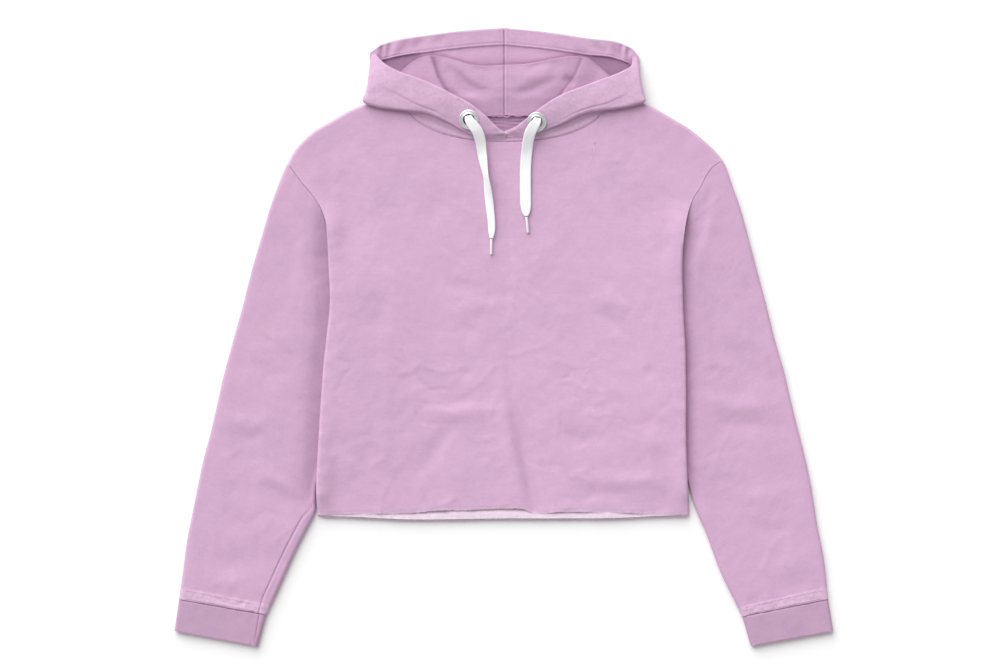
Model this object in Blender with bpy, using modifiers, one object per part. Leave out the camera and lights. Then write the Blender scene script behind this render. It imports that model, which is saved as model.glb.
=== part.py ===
"""A cropped pullover hoodie, laid out flat on its back with the hood opened towards the viewer.

Lengths are millimetres until a mesh is made. X runs to the viewer's right, Y from the hem up to
the hood, Z up from the surface the garment lies on, and the origin is under the middle of its box.
"""
from math import cos, exp, hypot, pi, radians, sin

import bmesh
import bpy
import numpy as np
from mathutils import Matrix, Vector

MM = 0.001

# Cloth
WALL = 2.0                # brushed fleece
HEM_WALL = 3.6            # fleece turned in along the hood's opening
CUFF_WALL = 2.6           # doubled knit of the cuffs
SEAM = 0.4                # between two edges that are sewn together
SIDE_SEAM = 1.0           # the same, round the side and shoulder folds
EDGE_TURN = 8.0           # degrees by which a seamed edge dips into its seam

# Heights of the laid-out body and sleeves
FOLD_RADIUS = 3.8         # of a side fold, outside
BODY_DEPTH = 6.8          # front and back lying on each other, away from the folds
FOLD_REACH = 36.0         # over which the thickness settles from the fold to BODY_DEPTH
TUCK_DEPTH = 5.0          # sleeve's inner fold, pressed flat under the body
TUCK_LIFT = 5.6           # height of the body's edge where it lies on the sleeve
TUCK_FLAT = 14.0          # the body lies on the sleeve this far in from its edge
TUCK_SLOPE = 30.0         # and comes down to the surface over this
TUCK_SHOULDER = 19.0      # the sleeve rises to its full depth over this
CUFF_RADIUS = 3.6
CUFF_GAP = 0.6            # between sleeve and cuff, along the sleeve
FRONT_FOLD_TURN = 100.0   # degrees that the front wraps round a side fold
SHOULDER_COSINE = 0.84    # of the shoulder's slope
CORNER_REACH = 0.05       # share of the width over which the shoulder meets the armhole

# Neckline, a superellipse between the two shoulder points
NECK_CENTRE = 2.3
NECK_HALF_WIDTH = 116.7
NECK_TOP = 277.7
NECK_POWER = 2.3
FRONT_NECK_DROP = 54.0
BACK_NECK_DROP = 24.0

# Hood
CENTRE_SEAM = 0.8         # X of the seam over the crown
BRIM_WIDTH = 19.5         # turned-in hem along the crown
BRIM_DEPTH = 4.2
HOOD_BULGE = 2.4          # crown of the front bands
FOLD_SOLID_GAP = 0.4
HOOD_FOOT_GAP = 3.4       # hidden, between the hood's back and the back's neckline

# Metal eyelets, flat drawcord and its ends
EYELET_RADIUS = 11.5
EYELET_BORE = 6.6
EYELET_FLANGE = 1.3
EYELET_CLEARANCE = 0.9
EYELET_BARREL = 0.7
CORD_THICKNESS = 2.6
AGLET_RADIUS = 1.3

# Outer edge of shoulder and sleeve, from the shoulder point at the neck to the cuff seam (x, y)
OUTLINE = {
    "left": [(-114.4, 277.7), (-136.3, 274.3), (-162.7, 266.2), (-182.3, 257.0), (-199.5, 246.7),
             (-215.6, 237.5), (-230.6, 224.8), (-239.8, 214.5), (-249.0, 197.8), (-259.3, 173.1),
             (-268.5, 147.8), (-276.6, 120.2), (-287.5, 83.4), (-298.4, 40.8), (-309.3, 1.7),
             (-322.6, -47.7), (-336.4, -108.7), (-344.4, -138.6), (-350.2, -165.0),
             (-358.2, -205.3), (-363.3, -230.6), (-369.7, -277.7), (-373.4, -301.9)],
    "right": [(119.0, 277.7), (139.7, 275.4), (163.9, 267.4), (191.5, 252.4), (215.6, 237.5),
              (231.1, 224.8), (242.1, 214.5), (251.7, 203.0), (262.6, 175.1), (271.8, 149.2),
              (280.0, 120.3), (289.2, 85.4), (301.9, 37.4), (312.2, -4.0), (322.6, -39.7),
              (330.6, -74.2), (344.4, -129.4), (352.5, -165.0), (360.5, -214.5),
              (368.1, -253.6), (373.6, -301.9)],
}
SHOULDER_POINT = {"left": 8, "right": 7}      # row of OUTLINE where the sleeve is set in

# Armhole seam from just inside the shoulder point, then the side fold down to the hem (x, y)
SIDE = {
    "left": [(-234.0, 180.0), (-217.9, 160.4), (-208.7, 145.5), (-204.1, 132.8), (-202.4, 115.6),
             (-201.2, 83.4), (-199.5, 37.4), (-203.0, 1.7), (-206.4, -28.2), (-209.3, -66.1),
             (-211.5, -100.6), (-213.7, -139.7), (-215.2, -174.2), (-213.9, -205.3)],
    "right": [(239.8, 194.5), (233.4, 186.3), (227.1, 173.4), (217.2, 157.0), (211.0, 138.6),
              (207.0, 114.4), (205.7, 85.4), (206.0, 52.3), (207.0, 24.7), (208.7, -4.0),
              (209.9, -51.2), (209.9, -109.8), (211.0, -153.5), (213.9, -204.1)],
}
UNDERARM = {"left": 5, "right": 6}            # row of SIDE, counted after the shoulder point
UNDERARM_T = 0.28                              # share of the body's rows above the underarm
ARMHOLE_STEPS = 8                              # sections along the armhole, on both its sides

# Sleeve's inner fold: under the body down to about y -180, then in the open (x, y)
SLEEVE_INNER = {
    "left": [(-199.9, 114.0), (-194.6, 85.7), (-192.6, 35.1), (-191.5, 1.7), (-193.8, -40.8),
             (-198.4, -86.8), (-206.4, -136.3), (-215.6, -176.5), (-217.2, -203.0),
             (-224.8, -217.9), (-239.2, -246.4), (-262.8, -298.7), (-272.9, -320.3)],
    "right": [(204.5, 113.0), (199.2, 85.7), (197.2, 35.1), (194.9, 0.6), (194.9, -40.8),
              (198.4, -86.8), (204.1, -136.3), (213.3, -171.9), (220.2, -196.1),
              (232.9, -226.0), (249.7, -270.8), (269.2, -311.1), (274.7, -322.6)],
}
CUFF_END = {                                   # outer and inner corner at the wrist (x, y)
    "left": ((-378.5, -338.7), (-282.8, -356.3)),
    "right": ((379.4, -338.7), (284.6, -355.9)),
}

# Cut edges at the hem (x, y)
FRONT_HEM = [(-213.9, -205.3), (-134.5, -205.3), (-98.3, -202.3), (-75.3, -198.6), (7.5, -197.9),
             (25.3, -196.4), (32.8, -200.7), (54.6, -201.6), (65.0, -197.9), (143.2, -203.8),
             (213.9, -204.1)]
BACK_HEM = [(-213.9, -206.4), (-176.5, -207.1), (-120.2, -209.9), (7.5, -209.1), (54.6, -209.1),
            (143.2, -208.1), (171.9, -206.4), (213.9, -205.3)]

# Where the body rises onto each sleeve's tucked fold (y at which the rise starts and ends)
TUCK_SPAN = {
    "left": dict(upper=(160.0, 118.0), lower=(-178.0, -206.0)),
    "right": dict(upper=(160.0, 118.0), lower=(-174.0, -206.0)),
}

# Largest folds of the front: height above or below the cloth, width, and the line they follow
FRONT_FOLDS = [
    dict(height=-1.9, width=10.0, line=[(7, -12), (8, -52), (11, -97), (22, -136), (31, -190)]),
    dict(height=2.4, width=12.0, line=[(-5, -43), (-3, -82), (2, -142), (13, -182)]),
    dict(height=1.4, width=13.0, line=[(112, 58), (128, 40), (142, 26)]),
    dict(height=-1.3, width=11.0, line=[(110, 34), (124, 16), (134, 4)]),
    dict(height=-1.2, width=12.0, line=[(-208, -102), (-188, -125), (-172, -142)]),
    dict(height=1.3, width=12.0, line=[(-92, -76), (-60, -84), (-6, -84)]),
    dict(height=-1.3, width=11.0, line=[(-62, -102), (-76, -126), (-90, -148)]),
    dict(height=-1.2, width=12.0, line=[(60, -114), (92, -122), (120, -116)]),
    dict(height=1.4, width=12.0, line=[(104, -164), (146, -166), (186, -162)]),
    dict(height=-1.0, width=11.0, line=[(-138, 54), (-141, 24), (-140, 0)]),
]
SLEEVE_FOLDS = {
    "left": [
        dict(height=1.6, width=12.0, line=[(-282, -150), (-262, -164), (-236, -180)]),
        dict(height=-1.2, width=11.0, line=[(-276, -166), (-256, -182)]),
        dict(height=1.2, width=12.0, line=[(-320, -92), (-290, -98), (-262, -92)]),
    ],
    "right": [
        dict(height=1.4, width=12.0, line=[(224, -72), (262, -78), (312, -76)]),
        dict(height=-1.2, width=11.0, line=[(246, -96), (280, -102), (312, -102)]),
        dict(height=1.2, width=12.0, line=[(256, 22), (276, 0), (296, -20)]),
    ],
}

# Front bands of the hood, a row for each section from the crown's corner down to the throat:
# opening edge, outer fold or lip, its radius and the degrees it turns, and where the cloth ends.
BAND_COLUMNS = ("edge_x", "edge_y", "edge_z", "lip_x", "lip_y", "lip_z", "radius", "turn",
                "end_x", "end_y", "end_z")
BANDS = {
    "left": [
        (-147.2, 324.9, 10.0, -152.4, 315.7, 9.0, 3.9, 170, -147.2, 314.0, 1.2),
        (-133.3, 313.9, 12.5, -153.8, 304.2, 10.0, 4.2, 170, -148.0, 302.5, 1.8),
        (-117.4, 304.4, 14.5, -155.5, 290.4, 11.5, 4.2, 170, -149.5, 288.5, 3.2),
        (-102.9, 298.4, 16.0, -158.1, 279.5, 13.8, 3.9, 170, -151.0, 282.0, 6.2),
        (-90.3, 293.5, 17.2, -161.8, 268.5, 16.2, 3.8, 165, -150.0, 279.0, 8.7),
        (-77.6, 287.7, 18.0, -145.5, 262.8, 16.4, 3.8, 165, -141.0, 273.0, 8.9),
        (-66.1, 282.3, 18.4, -127.1, 259.9, 16.4, 3.8, 160, -123.5, 268.0, 9.0),
        (-52.3, 275.1, 18.4, -108.7, 258.2, 16.2, 3.6, 135, -108.6, 260.4, 9.2),
        (-40.1, 268.5, 18.0, -91.4, 256.1, 15.8, 3.4, 112, -95.6, 248.2, 7.6),
        (-29.3, 260.5, 17.0, -75.3, 250.1, 15.0, 3.2, 108, -79.5, 237.4, 7.2),
        (-19.0, 251.8, 15.8, -60.4, 243.2, 13.8, 3.0, 104, -63.0, 231.6, 7.2),
        (-9.8, 242.6, 14.6, -46.6, 235.3, 12.4, 2.8, 96, -47.0, 228.2, 7.2),
        (-3.4, 236.9, 13.4, -30.5, 228.3, 11.0, 2.6, 84, -30.5, 225.7, 7.2),
        (1.7, 232.9, 12.6, -12.9, 227.0, 10.6, 2.6, 80, -13.4, 224.8, 7.2),
        (4.2, 231.6, 12.0, 2.6, 227.4, 10.4, 2.6, 80, 2.6, 224.7, 7.2),
    ],
    "right": [
        (150.6, 317.2, 10.0, 154.8, 311.3, 9.0, 3.9, 170, 150.8, 309.7, 1.2),
        (138.6, 305.9, 12.5, 157.7, 298.4, 10.0, 4.2, 170, 152.6, 297.0, 1.8),
        (123.6, 299.2, 14.5, 159.0, 288.1, 11.5, 4.2, 170, 153.5, 287.0, 3.2),
        (109.8, 294.3, 16.0, 161.0, 278.7, 13.8, 3.9, 170, 154.5, 281.0, 6.2),
        (96.0, 289.0, 17.2, 163.3, 268.9, 16.2, 3.8, 165, 152.0, 279.0, 8.7),
        (82.2, 283.9, 18.0, 146.6, 263.9, 16.4, 3.8, 165, 143.0, 273.5, 8.9),
        (68.4, 278.4, 18.4, 128.2, 261.0, 16.4, 3.8, 160, 126.0, 268.5, 9.0),
        (55.8, 271.4, 18.4, 111.0, 259.0, 16.2, 3.6, 135, 112.6, 258.8, 8.9),
        (44.3, 263.9, 18.0, 93.7, 255.3, 15.8, 3.4, 112, 99.3, 248.0, 7.4),
        (34.5, 256.4, 17.0, 77.6, 248.2, 15.0, 3.2, 108, 83.6, 238.2, 7.2),
        (25.3, 249.0, 15.8, 62.7, 241.5, 13.8, 3.0, 104, 67.5, 232.0, 7.2),
        (18.7, 243.6, 14.6, 47.7, 236.0, 12.4, 2.8, 96, 51.0, 228.3, 7.2),
        (12.9, 239.2, 13.2, 30.5, 228.8, 11.0, 2.6, 84, 31.5, 225.6, 7.2),
        (6.6, 236.2, 12.4, 10.2, 227.8, 10.6, 2.6, 80, 10.6, 224.8, 7.2),
    ],
}
EYELETS = {                                    # place on a band: across it, and along its rows
    "left": (0.44, 9.83),
    "right": (0.33, 9.86),
}

# Back of the hood on the surface: the brim, then down beside the bands to the shoulder (x, y)
BRIM = {
    "left": [(0.8, 355.3), (-40.1, 352.5), (-85.7, 347.0), (-131.1, 339.0), (-142.0, 334.4),
             (-148.6, 328.8)],
    "right": [(0.8, 355.3), (50.8, 350.2), (96.0, 343.5), (142.0, 335.6), (150.9, 328.8),
              (153.2, 323.6)],
}
HOOD_BACK_FOOT = {"left": (-134.0, 283.0), "right": (137.0, 284.0)}

# Fold of the hood's back inside the opening: its upper edge (x, y), and the ridge of its side
INNER_FOLD = {
    "left": [(0.8, 312.9), (-17.8, 311.8), (-38.5, 313.4), (-53.5, 318.0), (-70.7, 322.6),
             (-84.5, 323.7), (-101.8, 318.0), (-117.9, 305.3), (-124.8, 297.3)],
    "right": [(0.8, 312.9), (25.3, 314.1), (43.1, 316.8), (60.4, 320.3), (77.6, 322.9),
              (96.0, 320.8), (107.5, 313.4), (123.6, 299.6), (131.7, 292.0)],
}
INNER_FOOT = {                                 # lower edge, along the back neckline (x)
    "left": (0.8, -104.0),
    "right": (0.8, 108.0),
}
INNER_RIDGE = {                                # the side facet turns down outside this line
    "left": [(-84.5, 325.0), (-76.0, 298.0), (-66.0, 280.0), (-60.0, 262.0)],
    "right": [(93.5, 322.0), (84.0, 300.0), (69.0, 279.5), (62.0, 262.0)],
}
INNER_HEIGHT = [(252.0, 4.8), (262.0, 7.0), (274.0, 9.8), (286.0, 11.4), (300.0, 12.0),
                (326.0, 11.6)]                 # (y, z) of its top along the middle
FACET_DROP = 3.4
FACET_REACH = 26.0
INNER_ROLL = 5.0                               # rounding of its edges

# Free ends of the drawcord: (x, y, z, width, degrees it leans on its edge)
CORD_COLUMNS = ("x", "y", "z", "width", "lean")
CORDS = {
    "left": [
        (-39.6, 250.6, 16.6, 7.0, 0), (-39.0, 247.2, 20.2, 8.5, 0), (-37.6, 242.8, 21.4, 10.5, 4),
        (-34.0, 236.5, 20.0, 12.5, 6), (-30.6, 229.5, 16.6, 12.5, 4),
        (-27.4, 222.0, 12.8, 12.0, 6), (-25.6, 214.5, 10.9, 11.5, 10),
        (-24.0, 206.0, 10.6, 11.5, 22), (-22.2, 195.0, 12.4, 11.5, 46),
        (-20.2, 183.4, 13.6, 11.5, 60), (-18.4, 171.0, 12.6, 11.5, 48),
        (-16.7, 158.1, 10.6, 10.5, 26), (-15.2, 145.0, 9.6, 9.5, 10),
        (-13.8, 131.7, 9.3, 8.8, 4), (-13.6, 121.0, 9.3, 8.0, 0), (-13.9, 113.0, 9.3, 4.6, 0),
    ],
    "right": [
        (37.6, 249.6, 16.8, 7.0, 0), (36.9, 246.4, 20.4, 8.5, 0), (35.4, 241.6, 21.4, 10.5, -4),
        (32.8, 235.4, 20.2, 12.5, -6), (29.6, 229.0, 16.8, 12.8, -4),
        (27.6, 221.6, 12.9, 12.8, -6), (26.6, 214.0, 10.4, 12.8, -4),
        (26.0, 205.0, 9.4, 12.8, 0), (25.3, 191.5, 9.2, 12.8, 3), (25.2, 178.0, 9.2, 12.8, 4),
        (25.3, 164.0, 9.2, 12.8, 2), (25.6, 151.2, 9.2, 12.4, 0), (25.9, 143.0, 9.2, 9.5, 0),
        (26.2, 138.4, 9.2, 4.6, 0),
    ],
}
AGLETS = {                                     # from the cord's end to the tip (x, y, z)
    "left": ((-14.0, 112.4, 9.3), (-14.1, 94.1, 8.9)),
    "right": ((26.3, 137.8, 9.2), (28.2, 119.2, 8.9)),
}

COLOURS = {
    "fleece": (0.68, 0.46, 0.65),
    "cuff": (0.55, 0.36, 0.52),
    "cord": (0.90, 0.90, 0.92),
    "metal": (0.75, 0.75, 0.77),
    "tip": (0.88, 0.86, 0.89),
}
SIDES = ("left", "right")
OUTWARD = {"left": -1.0, "right": 1.0}         # X direction away from the body's middle


# ---------------------------------------------------------------- curves and tables

def smooth(low, high, value):
    """0 at low, 1 at high, with an even start and stop; low may be the larger one."""
    share = min(max((value - low) / (high - low), 0.0), 1.0)
    return share * share * (3.0 - 2.0 * share)


def hermite(knots, values, slopes, place):
    """Smooth reading of values at the given knots; runs on a little past both ends."""
    row = int(np.clip(np.searchsorted(knots, place) - 1, 0, len(knots) - 2))
    span = knots[row + 1] - knots[row]
    share = (place - knots[row]) / span
    rest = 1.0 - share
    return ((1 + 2 * share) * rest * rest * values[row] + share * rest * rest * span * slopes[row]
            + share * share * (3 - 2 * share) * values[row + 1]
            - share * share * rest * span * slopes[row + 1])


class Curve:
    """A smooth line through plan points, read by its share of the length."""

    def __init__(self, points):
        self.points = np.array(points, float)
        steps = np.linalg.norm(np.diff(self.points, axis=0), axis=1)
        self.knots = np.concatenate(([0.0], np.cumsum(steps)))
        self.slopes = np.gradient(self.points, self.knots, axis=0)
        self.length = self.knots[-1]
        dense = np.array([self.at(share) for share in np.linspace(0.0, 1.0, 161)])
        self.dense = dense[np.argsort(dense[:, 0])]

    def at(self, share):
        return hermite(self.knots, self.points, self.slopes, share * self.length)

    def share_of_row(self, row):
        return self.knots[row] / self.length

    def normal(self, share, towards):
        """Unit vector square to the line, on the side of the X direction given."""
        step = 0.004
        along = self.at(min(share + step, 1.0)) - self.at(max(share - step, 0.0))
        across = np.array((along[1], -along[0])) / np.linalg.norm(along)
        if across[0] * towards < 0:
            across = -across
        return across

    def at_x(self, x):
        """Point at a given X, on a line that runs steadily in X."""
        return np.array((x, np.interp(x, self.dense[:, 0], self.dense[:, 1])))

    def x_at(self, y):
        """X at a given Y, on a line that runs steadily down."""
        return np.interp(-y, -self.points[:, 1], self.points[:, 0])


class Table:
    """Rows of numbers under named columns, read smoothly between the rows."""

    def __init__(self, columns, rows):
        self.columns = columns
        self.rows = np.array(rows, float)
        self.knots = np.arange(len(rows), dtype=float)
        self.slopes = np.gradient(self.rows, axis=0)

    def at(self, row):
        return dict(zip(self.columns, hermite(self.knots, self.rows, self.slopes, row)))


def fold_height(folds, x, y):
    """Sum of the soft folds at a point of the plan."""
    total = 0.0
    for fold in folds:
        line = fold["line"]
        nearest, fade = 1e9, 0.0
        count = len(line) - 1
        for part, ((ax, ay), (bx, by)) in enumerate(zip(line, line[1:])):
            along_x, along_y = bx - ax, by - ay
            share = ((x - ax) * along_x + (y - ay) * along_y) / (along_x ** 2 + along_y ** 2)
            share = min(max(share, 0.0), 1.0)
            distance = hypot(x - ax - share * along_x, y - ay - share * along_y)
            if distance < nearest:
                whole = (part + share) / count
                nearest, fade = distance, sin(pi * (0.12 + 0.76 * whole))
        total += fold["height"] * fade * exp(-(nearest / fold["width"]) ** 2)
    return total


# ---------------------------------------------------------------- the garment's lines

outline = {side: Curve(OUTLINE[side]) for side in SIDES}
shoulder_share = {side: outline[side].share_of_row(SHOULDER_POINT[side]) for side in SIDES}


def shoulder_corner(side):
    """Flat corner of the body's front, just inside the fold at the shoulder point."""
    share = shoulder_share[side]
    inward = outline[side].normal(share, -OUTWARD[side])
    return outline[side].at(share) + inward * FOLD_RADIUS


side_line = {side: Curve([tuple(shoulder_corner(side))] + SIDE[side]) for side in SIDES}
underarm_share = {side: side_line[side].share_of_row(UNDERARM[side]) for side in SIDES}
front_hem, back_hem = Curve(FRONT_HEM), Curve(BACK_HEM)
sleeve_inner = {side: Curve(SLEEVE_INNER[side]) for side in SIDES}
bands = {side: Table(BAND_COLUMNS, BANDS[side]) for side in SIDES}


def side_share(side, t):
    """Share of a side line's length at row t of the body, even above and below the underarm."""
    share = underarm_share[side]
    if t < UNDERARM_T:
        return share * t / UNDERARM_T
    return share + (1.0 - share) * (t - UNDERARM_T) / (1.0 - UNDERARM_T)


def neckline(x, drop):
    """Y of a neckline at X."""
    share = min(abs(x - NECK_CENTRE) / NECK_HALF_WIDTH, 1.0)
    return NECK_TOP - drop * (1.0 - share ** NECK_POWER) ** (1.0 / NECK_POWER)


# ---------------------------------------------------------------- heights of the laid-out cloth

def body_side(x):
    return "left" if x < 0 else "right"


def tuck(side, y):
    """1 where the body's edge lies on the sleeve's inner fold, 0 away from there."""
    span = TUCK_SPAN[side]
    return smooth(*span["upper"], y) * (1.0 - smooth(*span["lower"], y))


def inside_edge(side, x, y):
    """Distance in from the body's side edge along X; negative outside it."""
    return OUTWARD[side] * (side_line[side].x_at(y) - x)


def back_underside(x, y):
    """Underside of the back: on the surface, or raised onto a sleeve's tucked fold."""
    side = body_side(x)
    distance = inside_edge(side, x, y)
    near = 1.0 - smooth(TUCK_FLAT, TUCK_FLAT + TUCK_SLOPE, distance)
    return TUCK_LIFT * tuck(side, y) * near


def inside_shoulder(side, x, y):
    """Rough distance down from the shoulder fold, or from its end beside the neck."""
    across = abs(x - NECK_CENTRE) - NECK_HALF_WIDTH
    if across < 0.0:
        return hypot(across, NECK_TOP - y)
    return SHOULDER_COSINE * (outline[side].at_x(x)[1] - y)


def front_top(x, y):
    """Top of the front, with its folds; they die out towards the edges."""
    side = body_side(x)
    distance = min(inside_edge(side, x, y), inside_shoulder(side, x, y))
    near = 1.0 - smooth(FOLD_RADIUS, FOLD_REACH, distance)
    depth = BODY_DEPTH + (2.0 * FOLD_RADIUS - BODY_DEPTH) * near
    folds = fold_height(FRONT_FOLDS, x, y) * smooth(FOLD_RADIUS, FOLD_REACH, distance)
    return back_underside(x, y) + depth + folds


def sleeve_top(side, x, y):
    """Top of a sleeve: full depth in the open, pressed down beside and under the body."""
    outside = -inside_edge(side, x, y)
    beside = 1.0 - smooth(0.0, TUCK_SHOULDER, outside)
    pressed = tuck(side, y) * beside
    depth = 2.0 * FOLD_RADIUS * (1.0 - pressed) + TUCK_DEPTH * pressed
    return depth + fold_height(SLEEVE_FOLDS[side], x, y) * smooth(4.0, 24.0, outside)


# ---------------------------------------------------------------- making solids

def material(name, colour, roughness=0.9, metallic=0.0):
    made = bpy.data.materials.new(name)
    made.use_nodes = True
    shader = made.node_tree.nodes["Principled BSDF"]
    shader.inputs["Base Color"].default_value = (*colour, 1.0)
    shader.inputs["Roughness"].default_value = roughness
    shader.inputs["Metallic"].default_value = metallic
    return made


def add_object(name, work, finish, collection):
    """Turns a closed bmesh in millimetres into a named object in metres."""
    bmesh.ops.recalc_face_normals(work, faces=work.faces)
    bmesh.ops.scale(work, vec=(MM, MM, MM), verts=work.verts)
    mesh = bpy.data.meshes.new(name)
    work.to_mesh(mesh)
    work.free()
    mesh.materials.append(finish)
    mesh.shade_smooth()
    mesh.set_sharp_from_angle(angle=radians(50))
    made = bpy.data.objects.new(name, mesh)
    collection.objects.link(made)
    return made


def slope_normal(point, s, t):
    """Unit normal of point(s, t), from its own slopes."""
    step = 1e-3
    along_s = point(s + step, t) - point(s - step, t)
    along_t = point(s, t + step) - point(s, t - step)
    across = np.cross(along_s, along_t)
    return across / np.linalg.norm(across)


def join_grids(work, outer, inner, ring):
    """Closes two grids of vertices, an outer and an inner face, into one wall."""
    rows, columns = len(outer), len(outer[0])
    spans = columns if ring else columns - 1
    for grid in (outer, inner):
        for row in range(rows - 1):
            for column in range(spans):
                after = (column + 1) % columns
                work.faces.new((grid[row][column], grid[row][after],
                                grid[row + 1][after], grid[row + 1][column]))
    for row in (0, rows - 1):
        for column in range(spans):
            after = (column + 1) % columns
            work.faces.new((outer[row][column], inner[row][column],
                            inner[row][after], outer[row][after]))
    if not ring:
        for column in (0, columns - 1):
            for row in range(rows - 1):
                work.faces.new((outer[row][column], outer[row + 1][column],
                                inner[row + 1][column], inner[row][column]))


def cloth(name, surface, s_values, t_values, finish, collection, ring=False, wall=None):
    """A wall of cloth; surface(s, t) gives a point of its outer face and the way out there."""
    work = bmesh.new()
    outer, inner = [], []
    for t in t_values:
        faces = [surface(s, t) for s in s_values]
        depths = [wall(s, t) if wall else WALL for s in s_values]
        outer.append([work.verts.new(point) for point, _ in faces])
        inner.append([work.verts.new(point - outward * depth)
                      for (point, outward), depth in zip(faces, depths)])
    join_grids(work, outer, inner, ring)
    return add_object(name, work, finish, collection)


def slab(name, plan, top, bottom, s_values, t_values, finish, collection):
    """A solid between a top and a bottom height over the same plan."""
    work = bmesh.new()
    faces = []
    for height in (top, bottom):
        faces.append([[work.verts.new((*plan(s, t), height(s, t))) for s in s_values]
                      for t in t_values])
    join_grids(work, faces[0], faces[1], ring=False)
    return add_object(name, work, finish, collection)


def spread(*stretches):
    """Values of a parameter, without repeats: each stretch is (start, stop, number of steps)."""
    values = []
    for start, stop, steps in stretches:
        values += [value for value in np.linspace(start, stop, steps + 1)
                   if not values or abs(value - values[-1]) > 1e-9]
    return values


# ---------------------------------------------------------------- front and back

class BodyPanel:
    """Front or back of the body; s runs across from left to right and t from top to hem.

    Between 0 and 1 the cloth lies flat. Past 0 and 1 in s, and above 0 in t, it turns
    round the side folds and the shoulder fold, or ends in a seam.
    """

    def __init__(self, front):
        self.front = front
        self.hem = front_hem if front else back_hem
        self.drop = FRONT_NECK_DROP if front else BACK_NECK_DROP
        seam_turn = np.degrees(SIDE_SEAM / FOLD_RADIUS)
        self.full_turn = FRONT_FOLD_TURN if front else 180.0 - FRONT_FOLD_TURN - seam_turn
        self.corners = {side: self.side_edge(side, 0.0) for side in SIDES}
        self.width = outline["right"].at(shoulder_share["right"])[0] \
            - outline["left"].at(shoulder_share["left"])[0]

    def side_point(self, side, t):
        return side_line[side].at(side_share(side, t))

    def side_normal(self, side, t):
        return side_line[side].normal(side_share(side, t), -OUTWARD[side])

    def side_turn(self, side, t):
        """Degrees that the cloth turns at a side edge: a seam above, a fold below."""
        y = self.side_point(side, t)[1]
        folded = smooth(122.0, 84.0, y)
        return EDGE_TURN + (self.full_turn - EDGE_TURN) * folded

    def side_reach(self, side, t):
        return FOLD_RADIUS * sin(radians(min(self.side_turn(side, t), 90.0)))

    def side_edge(self, side, t):
        """Edge of the flat cloth, just inside the side fold or seam."""
        inward = self.side_normal(side, t)
        return self.side_point(side, t) + inward * self.side_reach(side, t)

    def top_point(self, s):
        """Point of the shoulder or neckline, its inward direction, and degrees of turn."""
        left = outline["left"].at(shoulder_share["left"])[0]
        x = left + self.width * s
        side = "left" if x < NECK_CENTRE else "right"
        across = abs(x - NECK_CENTRE) - NECK_HALF_WIDTH
        if across < 0:
            return np.array((x, neckline(x, self.drop))), np.array((0.0, -1.0)), EDGE_TURN
        line = outline[side]
        point = line.at_x(x) if across > 0.5 else np.array((x, NECK_TOP))
        ahead = line.at_x(x + 0.6) - line.at_x(x - 0.6)
        inward = np.array((ahead[1], -ahead[0])) / np.linalg.norm(ahead)
        if s < 1e-6 or s > 1.0 - 1e-6:
            inward = line.normal(shoulder_share[side], -OUTWARD[side])
        turn = EDGE_TURN + (self.full_turn - EDGE_TURN) * smooth(0.0, 14.0, across)
        return point, inward, turn

    def top_fold(self, s):
        """Edge of the flat cloth below the shoulder fold or the neckline."""
        point, inward, turn = self.top_point(s)
        return point + inward * FOLD_RADIUS * sin(radians(min(turn, 90.0)))

    def top_edge(self, s):
        """The same edge, drawn to the side edge's end at both corners."""
        edge = self.top_fold(s)
        for side, corner_s in (("left", 0.0), ("right", 1.0)):
            fade = max(0.0, 1.0 - abs(s - corner_s) / CORNER_REACH)
            edge = edge + (self.corners[side] - self.top_fold(corner_s)) * fade
        return edge

    def plan(self, s, t):
        """Flat cloth between its four edges, blended from all of them."""
        left, right = self.side_edge("left", t), self.side_edge("right", t)
        top = self.top_edge(s)
        start, stop = self.side_edge("left", 1.0)[0], self.side_edge("right", 1.0)[0]
        low = self.hem.at_x(start + (stop - start) * s)
        low_left, low_right = self.hem.at_x(start), self.hem.at_x(stop)
        corners = ((1 - s) * (1 - t) * self.corners["left"] + s * (1 - t) * self.corners["right"]
                   + (1 - s) * t * low_left + s * t * low_right)
        across = (1 - s) * left + s * right
        down = (1 - t) * top + t * low
        to_hem = ((1 - s) * (low_left - self.side_edge("left", 1.0))
                  + s * (low_right - self.side_edge("right", 1.0)))
        return across + down - corners + to_hem * t * t

    def surface(self, s, t):
        flat_s, flat_t = min(max(s, 0.0), 1.0), max(t, 0.0)
        here = self.plan(flat_s, flat_t)
        height = front_top(*here) if self.front else back_underside(*here)
        way_up = 1.0 if self.front else -1.0
        outward = np.array((0.0, 0.0, way_up))
        for turn, away in self.turns(s, t):
            here = here + away * FOLD_RADIUS * sin(turn)
            height -= way_up * FOLD_RADIUS * (1.0 - cos(turn))
            outward = outward * cos(turn) + np.array((*away, 0.0)) * sin(turn)
        return np.array((*here, height)), outward

    def turns(self, s, t):
        """Each fold or seam edge that the cloth goes round here: angle, and way out in plan."""
        found = []
        if s < 0.0 or s > 1.0:
            side, past = ("left", -s) if s < 0.0 else ("right", s - 1.0)
            flat_t = max(t, 0.0)
            away = -self.side_normal(side, flat_t)
            found.append((radians(past * self.side_turn(side, flat_t)), away))
        if t < 0.0:
            _, inward, full = self.top_point(min(max(s, 0.0), 1.0))
            found.append((radians(-t * full), -inward))
        return found


def body_columns(steps, fold_steps):
    """Values of s: close together at the side folds and where the body lies on the sleeves."""
    near, far = 0.035, 0.105
    return spread((-1, 0.0, fold_steps), (0.0, near, 1), (far, 1 - far, steps),
                  (1 - near, 1.0, 1), (1.0, 2, fold_steps))


def body_rows(steps):
    """Values of t: round the shoulder, along the armhole, then down to the hem."""
    return spread((-1, 0.0, 2), (0.0, UNDERARM_T, ARMHOLE_STEPS), (UNDERARM_T, 1.0, steps))


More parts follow.
